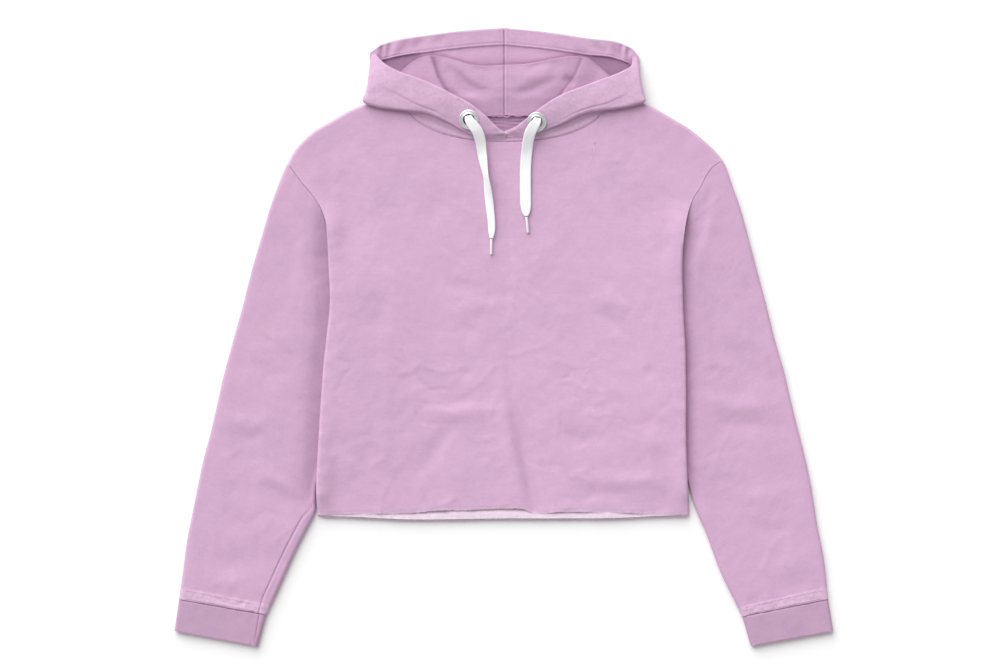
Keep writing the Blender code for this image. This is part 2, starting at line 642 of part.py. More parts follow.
def make_body(finish, collection):
    front, back = BodyPanel(front=True), BodyPanel(front=False)
    cloth("front", front.surface, body_columns(19, 3), body_rows(15), finish, collection)
    cloth("back", back.surface, body_columns(9, 2), body_rows(9), finish, collection)


# ---------------------------------------------------------------- sleeves and cuffs

class Tube:
    """A flattened tube: s goes once round it in four stretches and t along it.

    0 to 1 is the top from the outer to the inner fold, 1 to 2 the inner fold, 2 to 3 the
    underside and 3 to 4 the outer fold.
    """

    def across(self, q, t):
        """Plan point of the flat cloth, q from the outer (0) to the inner fold (1)."""
        raise NotImplementedError

    def outward(self, q, t):
        """Direction out of the tube in the plan, at the outer or inner fold."""
        raise NotImplementedError

    def depth(self, q, t):
        """Thickness of the whole tube."""
        raise NotImplementedError

    def surface(self, s, t):
        stretch, share = int(s % 4.0), (s % 4.0) % 1.0
        if stretch in (0, 2):
            q = share if stretch == 0 else 1.0 - share
            here = self.across(q, t)
            if stretch == 0:
                return np.array((*here, self.depth(q, t))), np.array((0.0, 0.0, 1.0))
            return np.array((*here, 0.0)), np.array((0.0, 0.0, -1.0))
        q = 1.0 if stretch == 1 else 0.0
        turn = pi * share if stretch == 1 else pi * (1.0 - share)
        radius = self.depth(q, t) / 2.0
        away = self.outward(q, t)
        here = self.across(q, t) + away * radius * sin(turn)
        outward = np.array((*(away * sin(turn)), cos(turn)))
        return np.array((*here, radius * (1.0 + cos(turn)))), outward


class Sleeve(Tube):
    def __init__(self, side):
        self.side = side
        self.line = {"outer": outline[side], "inner": sleeve_inner[side]}

    def outer_share(self, t):
        start = shoulder_share[self.side]
        return start + (1.0 - start) * t

    def armhole(self, q):
        """Sleeve's side of the armhole seam."""
        line, share = side_line[self.side], q * underarm_share[self.side]
        return line.at(share) + line.normal(share, OUTWARD[self.side]) * SEAM

    def fold_point(self, q, t):
        if q < 0.5:
            share = self.outer_share(t)
            line = self.line["outer"]
            return line.at(share) + line.normal(share, -OUTWARD[self.side]) * FOLD_RADIUS
        line = self.line["inner"]
        fold = line.at(t)
        radius = sleeve_top(self.side, *fold) / 2.0
        return fold + line.normal(t, OUTWARD[self.side]) * radius

    def across(self, q, t):
        outer, inner = self.fold_point(0, t), self.fold_point(1, t)
        straight = outer + (inner - outer) * q
        first = self.fold_point(0, 0.0) * (1 - q) + self.fold_point(1, 0.0) * q
        seam_shape = self.armhole(q) - first
        return straight + seam_shape * (1.0 - smooth(0.0, 0.30, t))

    def outward(self, q, t):
        if q < 0.5:
            return self.line["outer"].normal(self.outer_share(t), OUTWARD[self.side])
        return self.line["inner"].normal(t, -OUTWARD[self.side])

    def depth(self, q, t):
        return sleeve_top(self.side, *self.across(q, t))


class Cuff(Tube):
    def __init__(self, side):
        self.side = side
        self.sleeve = Sleeve(side)
        self.outer_end, self.inner_end = (np.array(corner) for corner in CUFF_END[side])
        self.outer_start = self.sleeve.fold_point(0, 1.0)
        self.inner_start = self.sleeve.fold_point(1, 1.0)
        self.gap = CUFF_GAP / np.linalg.norm(self.outer_end - self.outer_start)

    def across(self, q, t):
        t = self.gap + (1.0 - self.gap) * t
        inset = CUFF_RADIUS * (self.inner_end - self.outer_end)
        inset = inset / np.linalg.norm(self.inner_end - self.outer_end)
        outer = self.outer_start * (1 - t) + (self.outer_end + inset) * t
        inner = self.inner_start * (1 - t) + (self.inner_end - inset) * t
        return outer + (inner - outer) * q

    def outward(self, q, t):
        across = (self.inner_end - self.outer_end) / np.linalg.norm(self.inner_end - self.outer_end)
        at_wrist = -across if q < 0.5 else across
        return self.sleeve.outward(q, 1.0) * (1.0 - t) + at_wrist * t

    def depth(self, q, t):
        return 2.0 * CUFF_RADIUS


def ring_values(top_steps, fold_steps, under_steps):
    """Values of s once round a tube, the first one not repeated."""
    return spread((0, 1, top_steps), (1, 2, fold_steps), (2, 3, under_steps),
                  (3, 4, fold_steps))[:-1]


def make_sleeve(side, finish, cuff_finish, collection):
    sleeve, cuff = Sleeve(side), Cuff(side)
    cloth(f"sleeve_{side}", sleeve.surface, ring_values(ARMHOLE_STEPS, 4, ARMHOLE_STEPS),
          spread((0, 0.2, 4), (0.2, 1, 13)), finish, collection, ring=True)
    cloth(f"cuff_{side}", cuff.surface, ring_values(6, 4, 4), spread((0, 1, 3)), cuff_finish,
          collection, ring=True, wall=lambda s, t: CUFF_WALL)


# ---------------------------------------------------------------- hood

class Band:
    """Front of one hood panel; s from the opening edge over the lip, t along the table's rows."""

    def __init__(self, side):
        self.side = side
        self.table = bands[side]
        self.rows = len(BANDS[side]) - 1

    def lip_inward(self, t):
        """Direction from the lip into the band, square to the lip."""
        step = 0.05
        before, after = self.table.at(max(t - step, 0)), self.table.at(min(t + step, self.rows))
        along = np.array((after["lip_x"] - before["lip_x"], after["lip_y"] - before["lip_y"]))
        across = np.array((along[1], -along[0])) / np.linalg.norm(along)
        row = self.table.at(t)
        inward = np.array((row["edge_x"] - row["lip_x"], row["edge_y"] - row["lip_y"]))
        return across if across @ inward > 0 else -across

    def surface(self, s, t):
        outward = slope_normal(self.point, s, t)
        return self.point(s, t), outward if self.side == "left" else -outward

    def point(self, s, t):
        row = self.table.at(t)
        inward = self.lip_inward(t)
        radius = row["radius"]
        edge = np.array((row["edge_x"], row["edge_y"]))
        flat = np.array((row["lip_x"], row["lip_y"])) + inward * radius
        if s <= 1.0:
            here = edge + (flat - edge) * s
            width = np.linalg.norm(flat - edge)
            bulge = HOOD_BULGE * sin(pi * s) * smooth(0.0, 40.0, width)
            return np.array((*here, row["edge_z"] + (row["lip_z"] - row["edge_z"]) * s + bulge))
        turn = radians(row["turn"] * min(s - 1.0, 1.0))
        here = flat - inward * radius * sin(turn)
        height = row["lip_z"] - radius * (1.0 - cos(turn))
        if s > 2.0:
            share = s - 2.0
            end = np.array((row["end_x"], row["end_y"]))
            here = here + (end - here) * share
            height += (row["end_z"] - height) * smooth(0.0, 1.0, share)
        return np.array((*here, height))

    def wall(self, s, t):
        """Doubled along the opening, where the hem is turned in."""
        return WALL + (HEM_WALL - WALL) * (1.0 - smooth(0.45, 0.75, s)) * smooth(0.0, 2.0, t)


class HoodBack:
    """One side of the hood's back on the surface; s from the middle out, t from the brim down."""

    def __init__(self, side):
        self.side = side
        self.brim = Curve(BRIM[side])
        self.foot = np.array(HOOD_BACK_FOOT[side])

    def low_edge(self, s):
        x = CENTRE_SEAM + (self.foot[0] - CENTRE_SEAM) * s
        over_shoulder = abs(x - NECK_CENTRE) > NECK_HALF_WIDTH
        y = self.foot[1] if over_shoulder else neckline(x, BACK_NECK_DROP)
        y = max(y, NECK_TOP + 4.0) if abs(x - NECK_CENTRE) > NECK_HALF_WIDTH - 6 else y
        return np.array((x, y + HOOD_FOOT_GAP))

    def plan(self, s, t):
        top, low = self.brim.at(s), self.low_edge(s)
        here = top + (low - top) * t
        here[0] += OUTWARD[self.side] * SEAM / 2.0 * (1.0 - s)
        return here

    def brim_share(self, s):
        return BRIM_WIDTH / np.linalg.norm(self.brim.at(s) - self.low_edge(s))

    def top(self, s, t):
        past = t / self.brim_share(s)
        edge = smooth(0.0, 0.12, past)
        return WALL + (BRIM_DEPTH - WALL) * edge * (1.0 - smooth(0.95, 1.1, past))


class InnerFold:
    """Folded layers of the hood's back inside the opening; s from the middle out, t downwards."""

    def __init__(self, side):
        self.side = side
        self.edge = Curve(INNER_FOLD[side])
        self.ridge = Curve(INNER_RIDGE[side])

    def plan(self, s, t):
        top = self.edge.at(s)
        start, stop = INNER_FOOT[self.side]
        x = start + (stop - start) * s
        low = np.array((x, neckline(x, BACK_NECK_DROP) + 2.0 * SEAM + 10.0 * smooth(0.8, 1.0, s)))
        here = top + (low - top) * t
        here[0] += OUTWARD[self.side] * SEAM / 2.0 * (1.0 - s)
        return here

    def base(self, s, t):
        return WALL + FOLD_SOLID_GAP

    def top(self, s, t):
        x, y = self.plan(s, t)
        heights = np.array(INNER_HEIGHT)
        height = np.interp(y, heights[:, 0], heights[:, 1])
        outside = OUTWARD[self.side] * (x - self.ridge.x_at(y))
        height -= FACET_DROP * smooth(0.0, FACET_REACH, outside)
        rim = min(t * np.linalg.norm(self.plan(s, 0.0) - self.plan(s, 1.0)), INNER_ROLL)
        side_rim = min((1.0 - s) * self.edge.length, INNER_ROLL)
        for distance in (rim, side_rim):
            lean = 1.0 - distance / INNER_ROLL
            height -= (height - self.base(s, t) - 1.0) * (1.0 - (1.0 - lean ** 2) ** 0.5)
        return height


def round_shares(length):
    """Steps over a rounded edge, as shares of the length across."""
    return [INNER_ROLL * part / length for part in (0.0, 0.06, 0.25, 0.55, 1.0)]


def make_hood(side, finish, collection, cutters):
    band, back, fold = Band(side), HoodBack(side), InnerFold(side)
    front = cloth(f"hood_front_{side}", band.surface,
                  spread((0, 1, 6), (1, 1.95, 4), (2, 3, 3)), spread((0, band.rows, band.rows + 4)),
                  finish, collection, wall=band.wall)
    cut_eyelet_hole(side, front, band, cutters)
    brim_steps = [0.0, 0.012, 0.03, 0.1, 0.2, 0.235, 0.27, 0.45, 0.7, 1.0]
    slab(f"hood_back_{side}", back.plan, back.top, lambda s, t: 0.0, spread((0, 1, 11)),
         brim_steps, finish, collection)
    down = round_shares(55.0) + list(np.linspace(0.25, 1.0, 5))
    out = list(np.linspace(0.0, 0.9, 8)) + [1.0 - share for share in round_shares(145.0)[3::-1]]
    slab(f"hood_fold_{side}", fold.plan, fold.top, fold.base, out, down, finish, collection)


# ---------------------------------------------------------------- eyelets and drawcord

def eyelet_frame(side, band):
    """Matrix in millimetres with its origin on the band and Z out of it."""
    point, outward = band.surface(*EYELETS[side])
    turn = Vector((0.0, 0.0, 1.0)).rotation_difference(Vector(outward)).to_matrix().to_4x4()
    return Matrix.Translation(Vector(point)) @ turn


def place(made, frame):
    """Moves an object made around the origin, in metres, to a frame in millimetres."""
    made.matrix_world = Matrix.Translation(frame.to_translation() * MM) \
        @ frame.to_3x3().normalized().to_4x4()


def cut_eyelet_hole(side, front, band, cutters):
    """Cuts the round hole that the eyelet's barrel goes through."""
    hole = EYELET_BORE + EYELET_BARREL + 0.5
    bpy.ops.mesh.primitive_cylinder_add(vertices=20, radius=hole * MM, depth=16.0 * MM)
    cutter = bpy.context.object
    cutter.name = f"eyelet_hole_{side}"
    for owner in list(cutter.users_collection):
        owner.objects.unlink(cutter)
    cutters.objects.link(cutter)
    cutter.hide_render = True
    cutter.display_type = "WIRE"
    place(cutter, eyelet_frame(side, band))
    cut = front.modifiers.new("eyelet hole", "BOOLEAN")
    cut.operation = "DIFFERENCE"
    cut.object = cutter


def make_eyelet(side, finish, collection):
    """A turned ring: a rounded flange on the cloth and a barrel through it."""
    foot, top = EYELET_CLEARANCE, EYELET_CLEARANCE + EYELET_FLANGE
    bore, rim, barrel = EYELET_BORE, EYELET_RADIUS, EYELET_BORE + EYELET_BARREL
    profile = [(bore, top - 0.5), (bore + 0.5, top), (rim - 0.8, top), (rim - 0.2, top - 0.4),
               (rim, foot + 0.2), (rim - 0.3, foot), (barrel, foot), (barrel, -2.2), (bore, -2.2)]
    work = bmesh.new()
    points = [work.verts.new((radius * MM, 0.0, height * MM)) for radius, height in profile]
    for number, point in enumerate(points):
        work.edges.new((point, points[(number + 1) % len(points)]))
    mesh = bpy.data.meshes.new(f"eyelet_{side}")
    work.to_mesh(mesh)
    work.free()
    mesh.materials.append(finish)
    made = bpy.data.objects.new(f"eyelet_{side}", mesh)
    collection.objects.link(made)
    turned = made.modifiers.new("turned", "SCREW")
    turned.steps = 20
    turned.render_steps = 20
    turned.use_merge_vertices = True
    turned.merge_threshold = 0.00001
    place(made, eyelet_frame(side, Band(side)))


def cord_point(table, share, angle):
    """Point on the flat, round-edged section of a drawcord."""
    row = table.at(share)
    step = 0.02
    before, after = table.at(share - step), table.at(share + step)
    along = Vector([after[axis] - before[axis] for axis in "xyz"]).normalized()
    across = along.cross(Vector((0.0, 0.0, 1.0))).normalized()
    across = Matrix.Rotation(radians(row["lean"]), 3, along) @ across
    up = across.cross(along)
    flat = row["width"] / 2.0 - CORD_THICKNESS / 2.0
    ends = 1.0 if cos(angle) > 1e-6 else (-1.0 if cos(angle) < -1e-6 else 0.0)
    offset = across * (ends * flat + cos(angle) * CORD_THICKNESS / 2.0)
    offset += up * sin(angle) * CORD_THICKNESS / 2.0
    return Vector((row["x"], row["y"], row["z"])) + offset


def make_cord(side, finish, collection):
    """Free end of the drawcord, a flat braid with round edges."""
    table = Table(CORD_COLUMNS, CORDS[side])
    steps = len(CORDS[side]) - 1
    angles = [radians(degrees) for degrees in (90, 45, 0, -45, -90, -135, 180, 135)]
    work = bmesh.new()
    rings = []
    for step in range(steps + 1):
        rings.append([work.verts.new(cord_point(table, step, angle)) for angle in angles])
    count = len(angles)
    for before, after in zip(rings, rings[1:]):
        for number in range(count):
            work.faces.new((before[number], before[(number + 1) % count],
                            after[(number + 1) % count], after[number]))
    work.faces.new(rings[0])
    work.faces.new(rings[-1])
    add_object(f"drawcord_{side}", work, finish, collection)


def make_aglet(side, finish, collection):
    """Thin white tip of the drawcord."""
    start, stop = (Vector(point) for point in AGLETS[side])
    along = stop - start
    start = start + along.normalized() * 0.4
    bpy.ops.mesh.primitive_cylinder_add(vertices=12, radius=AGLET_RADIUS * MM,
                                        depth=(stop - start).length * MM)
    made = bpy.context.object
    made.name = f"aglet_{side}"
    made.data.materials.append(finish)
    for owner in list(made.users_collection):
        owner.objects.unlink(made)
    collection.objects.link(made)
    turn = Vector((0.0, 0.0, 1.0)).rotation_difference(along).to_matrix().to_4x4()
    place(made, Matrix.Translation((start + stop) / 2.0) @ turn)


def main():
    for old in list(bpy.data.objects):
        bpy.data.objects.remove(old)
    garment = bpy.data.collections.new("cropped_hoodie")
    cutters = bpy.data.collections.new("cutters")
    for collection in (garment, cutters):
        bpy.context.scene.collection.children.link(collection)
    fleece = material("fleece", COLOURS["fleece"])
    cuff_knit = material("cuff_knit", COLOURS["cuff"])
    braid = material("braid", COLOURS["cord"], roughness=0.8)
    metal = material("metal", COLOURS["metal"], roughness=0.3, metallic=1.0)
    tip = material("tip", COLOURS["tip"], roughness=0.4)
    make_body(fleece, garment)
    for side in SIDES:
        make_sleeve(side, fleece, cuff_knit, garment)
        make_hood(side, fleece, garment, cutters)
        make_eyelet(side, metal, garment)
        make_cord(side, braid, garment)
        make_aglet(side, tip, garment)


main()
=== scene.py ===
"""Looks of a cropped pullover hoodie, laid out flat on its back with the hood opened.

The cloth is built again from the lines that the model's solids follow, as thin walls with finer
folds, seams, stitches and raw edges. Lengths are millimetres until a mesh is made.
"""
from math import cos, pi, radians, sin

import bmesh
import bpy
import numpy as np
from mathutils import Matrix, Vector, noise


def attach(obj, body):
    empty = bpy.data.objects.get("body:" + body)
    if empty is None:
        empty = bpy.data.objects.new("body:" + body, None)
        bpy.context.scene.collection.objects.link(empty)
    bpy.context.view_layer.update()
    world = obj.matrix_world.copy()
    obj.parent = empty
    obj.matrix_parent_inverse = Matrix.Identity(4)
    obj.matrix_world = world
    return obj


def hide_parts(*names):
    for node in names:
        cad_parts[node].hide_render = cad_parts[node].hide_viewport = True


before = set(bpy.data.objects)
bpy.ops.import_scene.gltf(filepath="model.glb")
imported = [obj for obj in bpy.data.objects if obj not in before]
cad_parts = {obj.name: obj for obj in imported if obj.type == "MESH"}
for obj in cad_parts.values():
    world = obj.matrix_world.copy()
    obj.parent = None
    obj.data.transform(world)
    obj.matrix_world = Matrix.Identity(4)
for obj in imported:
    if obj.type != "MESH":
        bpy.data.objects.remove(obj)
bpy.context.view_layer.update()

MM = 0.001
SIDES = ("left", "right")
OUTWARD = {"left": -1.0, "right": 1.0}  # X direction away from the body's middle
BODY = "root"

# ---------------- camera

LENS, SENSOR = 80.0, 36.0
VIEW_WIDTH = 1159.2  # width of the picture on the garment
VIEW_CENTRE = (0.6, 0.6)
VIEW_PLANE = 5.0  # height of the cloth that the width holds for

view = bpy.data.cameras.new("camera")
view.lens, view.sensor_width = LENS, SENSOR
camera = bpy.data.objects.new("camera", view)
bpy.context.scene.collection.objects.link(camera)
camera.location = Vector((*VIEW_CENTRE, VIEW_PLANE + VIEW_WIDTH * LENS / SENSOR)) * MM
bpy.context.scene.camera = camera

# ---------------- sizes, as in the solids

WALL = 2.0  # hood, and the back inside the neck
SLEEVE_WALL = 1.5
BACK_WALL = 1.2
FRONT_WALL = 1.5
HEM_WALL = 3.6  # the hood's hem, turned in for the cord
CUFF_WALL = 2.6
SEAM = 0.4  # gap between pieces sewn together
SIDE_SEAM = 1.0  # the same round the body's side folds
EDGE_TURN = 8.0  # degrees that an open edge is turned down
FOLD_RADIUS = 3.8  # of the body's and the sleeves' folds
BODY_DEPTH = 6.8  # both layers, away from the folds
FOLD_REACH = 36.0  # way over which a fold comes down to that
TUCK_DEPTH = 5.0  # sleeve, pressed flat under the body's side
TUCK_LIFT = 5.6  # height of the back over it
TUCK_FLAT = 14.0  # width of the body lying on the sleeve
TUCK_SLOPE = 30.0  # and the way over which it comes down
TUCK_SHOULDER = 19.0  # way over which the sleeve gets thick again
CUFF_RADIUS = 3.6
CUFF_GAP = 0.6
FRONT_FOLD_TURN = 100.0  # degrees of a side fold that are the front's
SHOULDER_COSINE = 0.84  # of the shoulder line's slope
CORNER_REACH = 0.05  # share of a body panel's width that its corners are blended over
UNDERARM_T = 0.28  # share of its height where the underarm is
SLEEVE_WIDTH, SLEEVE_TAPER = 180.0, 80.0  # width at the top, and its loss by the cuff
CUFF_WIDTH = 96.0

NECK_CENTRE = 2.3
NECK_HALF_WIDTH = 116.7
NECK_TOP = 277.7
NECK_POWER = 2.3
FRONT_NECK_DROP = 54.0
BACK_NECK_DROP = 24.0

CENTRE_SEAM = 0.8  # x of the seam between the hood's two panels
BRIM_WIDTH = 19.5
BRIM_DEPTH = 4.2
BRIM_STEP = 1.4  # from the doubled brim down to the single cloth
HOOD_BULGE = 0.5
FOLD_SOLID_GAP = 0.4  # between the back's cloth and the inner folds
HOOD_FOOT_GAP = 3.4

CORD_THICKNESS = 2.6
STRAND_PITCH = 1.9  # of the braid's slanting strands
AGLET_RADIUS = 1.3

# Lines on the plan, as points (x, y) read on the photograph
OUTLINE = {  # shoulder and outer side of the sleeve
    "left": [(-114.4, 277.7), (-136.3, 274.3), (-162.7, 266.2), (-182.3, 257.0), (-199.5, 246.7),
             (-215.6, 237.5), (-230.6, 224.8), (-239.8, 214.5), (-249.0, 197.8), (-259.3, 173.1),
             (-268.5, 147.8), (-276.6, 120.2), (-287.5, 83.4), (-298.4, 40.8), (-309.3, 1.7),
             (-322.6, -47.7), (-336.4, -108.7), (-344.4, -138.6), (-350.2, -165.0),
             (-358.2, -205.3), (-363.3, -230.6), (-369.7, -277.7), (-373.4, -301.9)],
    "right": [(119.0, 277.7), (139.7, 275.4), (163.9, 267.4), (191.5, 252.4), (215.6, 237.5),
              (231.1, 224.8), (242.1, 214.5), (251.7, 203.0), (262.6, 175.1), (271.8, 149.2),
              (280.0, 120.3), (289.2, 85.4), (301.9, 37.4), (312.2, -4.0), (322.6, -39.7),
              (330.6, -74.2), (344.4, -129.4), (352.5, -165.0), (360.5, -214.5),
              (368.1, -253.6), (373.6, -301.9)],
}
SHOULDER_POINT = {"left": 8, "right": 7}  # the outline's point at the dropped shoulder
SIDE = {  # armhole, then the body's side
    "left": [(-234.0, 180.0), (-217.9, 160.4), (-208.7, 145.5), (-204.1, 132.8), (-202.4, 115.6),
             (-201.2, 83.4), (-199.5, 37.4), (-203.0, 1.7), (-206.4, -28.2), (-209.3, -66.1),
             (-211.5, -100.6), (-213.7, -139.7), (-215.2, -174.2), (-213.9, -205.3)],
    "right": [(239.8, 194.5), (233.4, 186.3), (227.1, 173.4), (217.2, 157.0), (211.0, 138.6),
              (207.0, 114.4), (205.7, 85.4), (206.0, 52.3), (207.0, 24.7), (208.7, -4.0),
              (209.9, -51.2), (209.9, -109.8), (211.0, -153.5), (213.9, -204.1)],
}
UNDERARM = {"left": 5, "right": 6}  # the side line's point at the underarm
SLEEVE_INNER = {
    "left": [(-199.9, 114.0), (-194.6, 85.7), (-192.6, 35.1), (-191.5, 1.7), (-193.8, -40.8),
             (-198.4, -86.8), (-206.4, -136.3), (-215.6, -176.5), (-217.2, -203.0),
             (-224.8, -217.9), (-239.2, -246.4), (-262.8, -298.7), (-272.9, -320.3)],
    "right": [(204.5, 113.0), (199.2, 85.7), (197.2, 35.1), (194.9, 0.6), (194.9, -40.8),
              (198.4, -86.8), (204.1, -136.3), (213.3, -171.9), (220.2, -196.1),
              (232.9, -226.0), (249.7, -270.8), (269.2, -311.1), (274.7, -322.6)],
}
CUFF_END = {
    "left": ((-378.5, -338.7), (-282.8, -356.3)),
    "right": ((379.4, -338.7), (284.6, -355.9)),
}
FRONT_HEM = [(-213.9, -205.2), (-188.0, -204.2), (-134.5, -203.6), (-99.8, -202.4), (-80.7, -200.3),
             (-42.3, -199.5), (-13.6, -198.0), (10.0, -197.6), (23.3, -198.2), (30.0, -201.8),
             (65.0, -201.8), (82.2, -201.5), (111.0, -202.4), (139.7, -202.8), (165.6, -204.2),
             (213.9, -204.6)]
BACK_HEM = [(-213.9, -206.4), (-176.5, -207.1), (-120.2, -209.9), (7.5, -209.1), (54.6, -209.1),
            (143.2, -208.1), (171.9, -206.4), (213.9, -205.3)]
TUCK_SPAN = {  # y between which the sleeve gets under the body, and out again
    "left": dict(upper=(160.0, 118.0), lower=(-178.0, -206.0)),
    "right": dict(upper=(160.0, 118.0), lower=(-174.0, -206.0)),
}
BAND_COLUMNS = ("edge_x", "edge_y", "edge_z", "lip_x", "lip_y", "lip_z", "radius", "turn",
                "end_x", "end_y", "end_z")
BANDS = {
    "left": [
        (-146.4, 328.6, 2.6, -150.8, 329.0, 1.8, 1.2, 120, -148.6, 327.0, 0.8),
        (-145.2, 322.8, 7.4, -153.0, 321.4, 6.6, 3.0, 165, -148.0, 319.6, 1.0),
        (-134.2, 312.0, 12.6, -154.2, 304.6, 12.2, 3.8, 170, -148.6, 303.0, 1.6),
        (-117.8, 303.4, 14.6, -155.5, 290.4, 14.8, 4.2, 170, -149.5, 288.5, 3.2),
        (-102.9, 298.4, 15.2, -158.1, 279.5, 15.6, 3.9, 170, -151.0, 282.0, 6.2),
        (-90.3, 293.5, 15.6, -161.0, 268.9, 15.8, 3.8, 165, -150.0, 279.0, 8.7),
        (-77.6, 287.7, 15.8, -145.5, 262.8, 15.8, 3.8, 165, -141.0, 273.0, 8.9),
        (-66.1, 282.3, 16.0, -127.1, 259.9, 15.8, 3.8, 160, -123.5, 268.0, 9.0),
        (-52.3, 275.1, 16.2, -108.7, 258.2, 15.6, 3.6, 135, -108.6, 260.4, 8.6),
        (-40.1, 268.5, 16.2, -91.4, 256.1, 15.0, 3.4, 112, -95.6, 248.2, 7.6),
        (-29.3, 260.5, 15.8, -75.3, 250.1, 14.2, 3.2, 108, -79.5, 237.4, 7.2),
        (-19.0, 251.8, 15.0, -60.4, 243.2, 13.2, 3.0, 104, -63.0, 231.6, 7.2),
        (-9.8, 242.6, 14.0, -46.6, 235.3, 11.6, 2.8, 96, -47.0, 228.2, 7.2),
        (-3.4, 236.9, 13.2, -30.5, 228.9, 9.8, 2.0, 76, -30.5, 225.5, 7.0),
        (1.7, 232.9, 12.4, -12.9, 227.8, 8.9, 1.8, 66, -13.4, 224.6, 6.8),
        (4.2, 231.6, 11.4, 2.6, 227.6, 8.8, 1.8, 62, 2.6, 224.5, 6.8),
    ],
    "right": [
        (147.0, 328.0, 2.6, 150.6, 328.4, 1.8, 1.2, 120, 149.4, 326.4, 0.8),
        (147.2, 312.8, 8.6, 155.4, 317.0, 7.6, 3.0, 165, 151.0, 314.2, 1.0),
        (138.0, 305.6, 12.8, 157.2, 300.4, 12.4, 3.8, 170, 152.4, 298.0, 1.6),
        (123.6, 299.2, 14.6, 159.0, 288.1, 14.8, 4.2, 170, 153.5, 287.0, 3.2),
        (109.8, 294.3, 15.2, 161.0, 278.7, 15.6, 3.9, 170, 154.5, 281.0, 6.2),
        (96.0, 289.0, 15.6, 162.6, 269.3, 15.8, 3.8, 165, 152.0, 279.0, 8.7),
        (82.2, 283.9, 15.8, 146.6, 263.9, 15.8, 3.8, 165, 143.0, 273.5, 8.9),
        (68.4, 278.4, 16.0, 128.2, 261.0, 15.8, 3.8, 160, 126.0, 268.5, 9.0),
        (55.8, 271.4, 16.2, 111.0, 259.0, 15.6, 3.6, 135, 112.6, 258.8, 8.6),
        (44.3, 263.9, 16.2, 93.7, 255.3, 15.0, 3.4, 112, 99.3, 248.0, 7.4),
        (34.5, 256.4, 15.8, 77.6, 248.2, 14.2, 3.2, 108, 83.6, 238.2, 7.2),
        (25.3, 249.0, 15.0, 62.7, 241.5, 13.2, 3.0, 104, 67.5, 232.0, 7.2),
        (18.7, 243.6, 14.0, 47.7, 236.0, 11.6, 2.8, 96, 51.0, 228.3, 7.2),
        (12.9, 239.2, 12.9, 30.5, 229.3, 9.8, 2.0, 76, 31.5, 225.4, 7.0),
        (6.6, 236.2, 11.6, 12.2, 228.3, 8.8, 1.8, 66, 12.6, 224.7, 6.8),
        (-3.0, 231.6, 9.2, -0.6, 227.4, 7.8, 1.8, 62, -0.6, 224.6, 6.2),
    ],
}
# Centres on the plan
EYELETS = {"left": (-39.6, 248.6), "right": (38.1, 246.0)}
BRIM = {
    "left": [(0.8, 355.3), (-40.1, 352.5), (-85.7, 347.0), (-131.1, 339.0), (-143.0, 334.6),
             (-150.8, 327.8)],
    "right": [(0.8, 355.3), (50.8, 350.2), (96.0, 343.5), (138.0, 336.4), (150.2, 329.4),
              (154.4, 322.6)],
}
HOOD_BACK_FOOT = {"left": (-134.0, 283.0), "right": (137.0, 284.0)}
INNER_FOLD = {
    "left": [(0.8, 312.9), (-17.8, 311.8), (-38.5, 313.4), (-53.5, 318.0), (-70.7, 322.6),
             (-84.5, 323.7), (-101.8, 318.0), (-117.9, 305.3), (-124.8, 297.3)],
    "right": [(0.8, 312.9), (25.3, 314.1), (43.1, 316.8), (60.4, 320.3), (77.6, 322.9),
              (96.0, 320.8), (107.5, 313.4), (123.6, 299.6), (131.7, 292.0)],
}
INNER_FOOT = {"left": (0.8, -104.0), "right": (0.8, 108.0)}
INNER_RIDGE = {
    "left": [(-84.5, 325.0), (-76.0, 298.0), (-66.0, 280.0), (-60.0, 262.0)],
    "right": [(93.5, 322.0), (84.0, 300.0), (69.0, 279.5), (62.0, 262.0)],
}
# Plan y and height of the folds inside the opening
INNER_HEIGHT = [(252.0, 4.8), (262.0, 7.0), (274.0, 9.8), (286.0, 11.4), (300.0, 12.0),
                (326.0, 11.6)]
FACET_DROP = 3.4  # fall of the facet outside the ridge
FACET_REACH = 26.0
INNER_ROLL = 2.6  # radius of the folds' rounded edges

CORD_COLUMNS = ("x", "y", "z", "width", "lean")
CORDS = {
    "left": [
        (-40.4, 251.8, 16.4, 6.4, 0), (-40.2, 251.0, 19.2, 8.4, 0), (-39.0, 247.4, 21.5, 10.4, 4),
        (-35.4, 242.2, 21.4, 12.0, 6), (-30.6, 236.0, 20.4, 12.5, 5),
        (-27.6, 228.8, 17.7, 12.5, 4), (-25.9, 221.2, 14.5, 12.0, 6), (-25.0, 214.0, 12.3, 11.5, 10),
        (-24.0, 206.0, 11.2, 11.5, 22), (-22.2, 195.0, 12.4, 11.5, 46),
        (-20.2, 183.4, 13.6, 11.5, 60), (-18.4, 171.0, 12.6, 11.5, 48),
        (-16.7, 158.1, 10.6, 10.5, 26), (-15.2, 145.0, 9.6, 9.5, 10),
        (-13.8, 131.7, 9.3, 8.8, 4), (-13.6, 121.0, 9.3, 8.0, 0), (-13.9, 113.0, 9.3, 4.6, 0),
    ],
    "right": [
        (39.0, 249.4, 16.4, 6.4, 0), (38.8, 248.6, 19.3, 8.4, 0), (37.6, 244.8, 21.5, 10.4, -4),
        (33.9, 239.4, 21.2, 12.2, -6), (30.6, 233.0, 19.5, 12.8, -5),
        (28.8, 226.4, 16.8, 12.8, -5), (27.6, 219.6, 14.0, 12.8, -6), (26.9, 212.6, 11.7, 12.8, -4),
        (26.0, 205.0, 10.2, 12.8, 0), (25.3, 191.5, 9.2, 12.8, 3), (25.2, 178.0, 9.2, 12.8, 4),
        (25.3, 164.0, 9.2, 12.8, 2), (25.6, 151.2, 9.2, 12.4, 0), (25.9, 143.0, 9.2, 9.5, 0),
        (26.2, 138.4, 9.2, 4.6, 0),
    ],
}
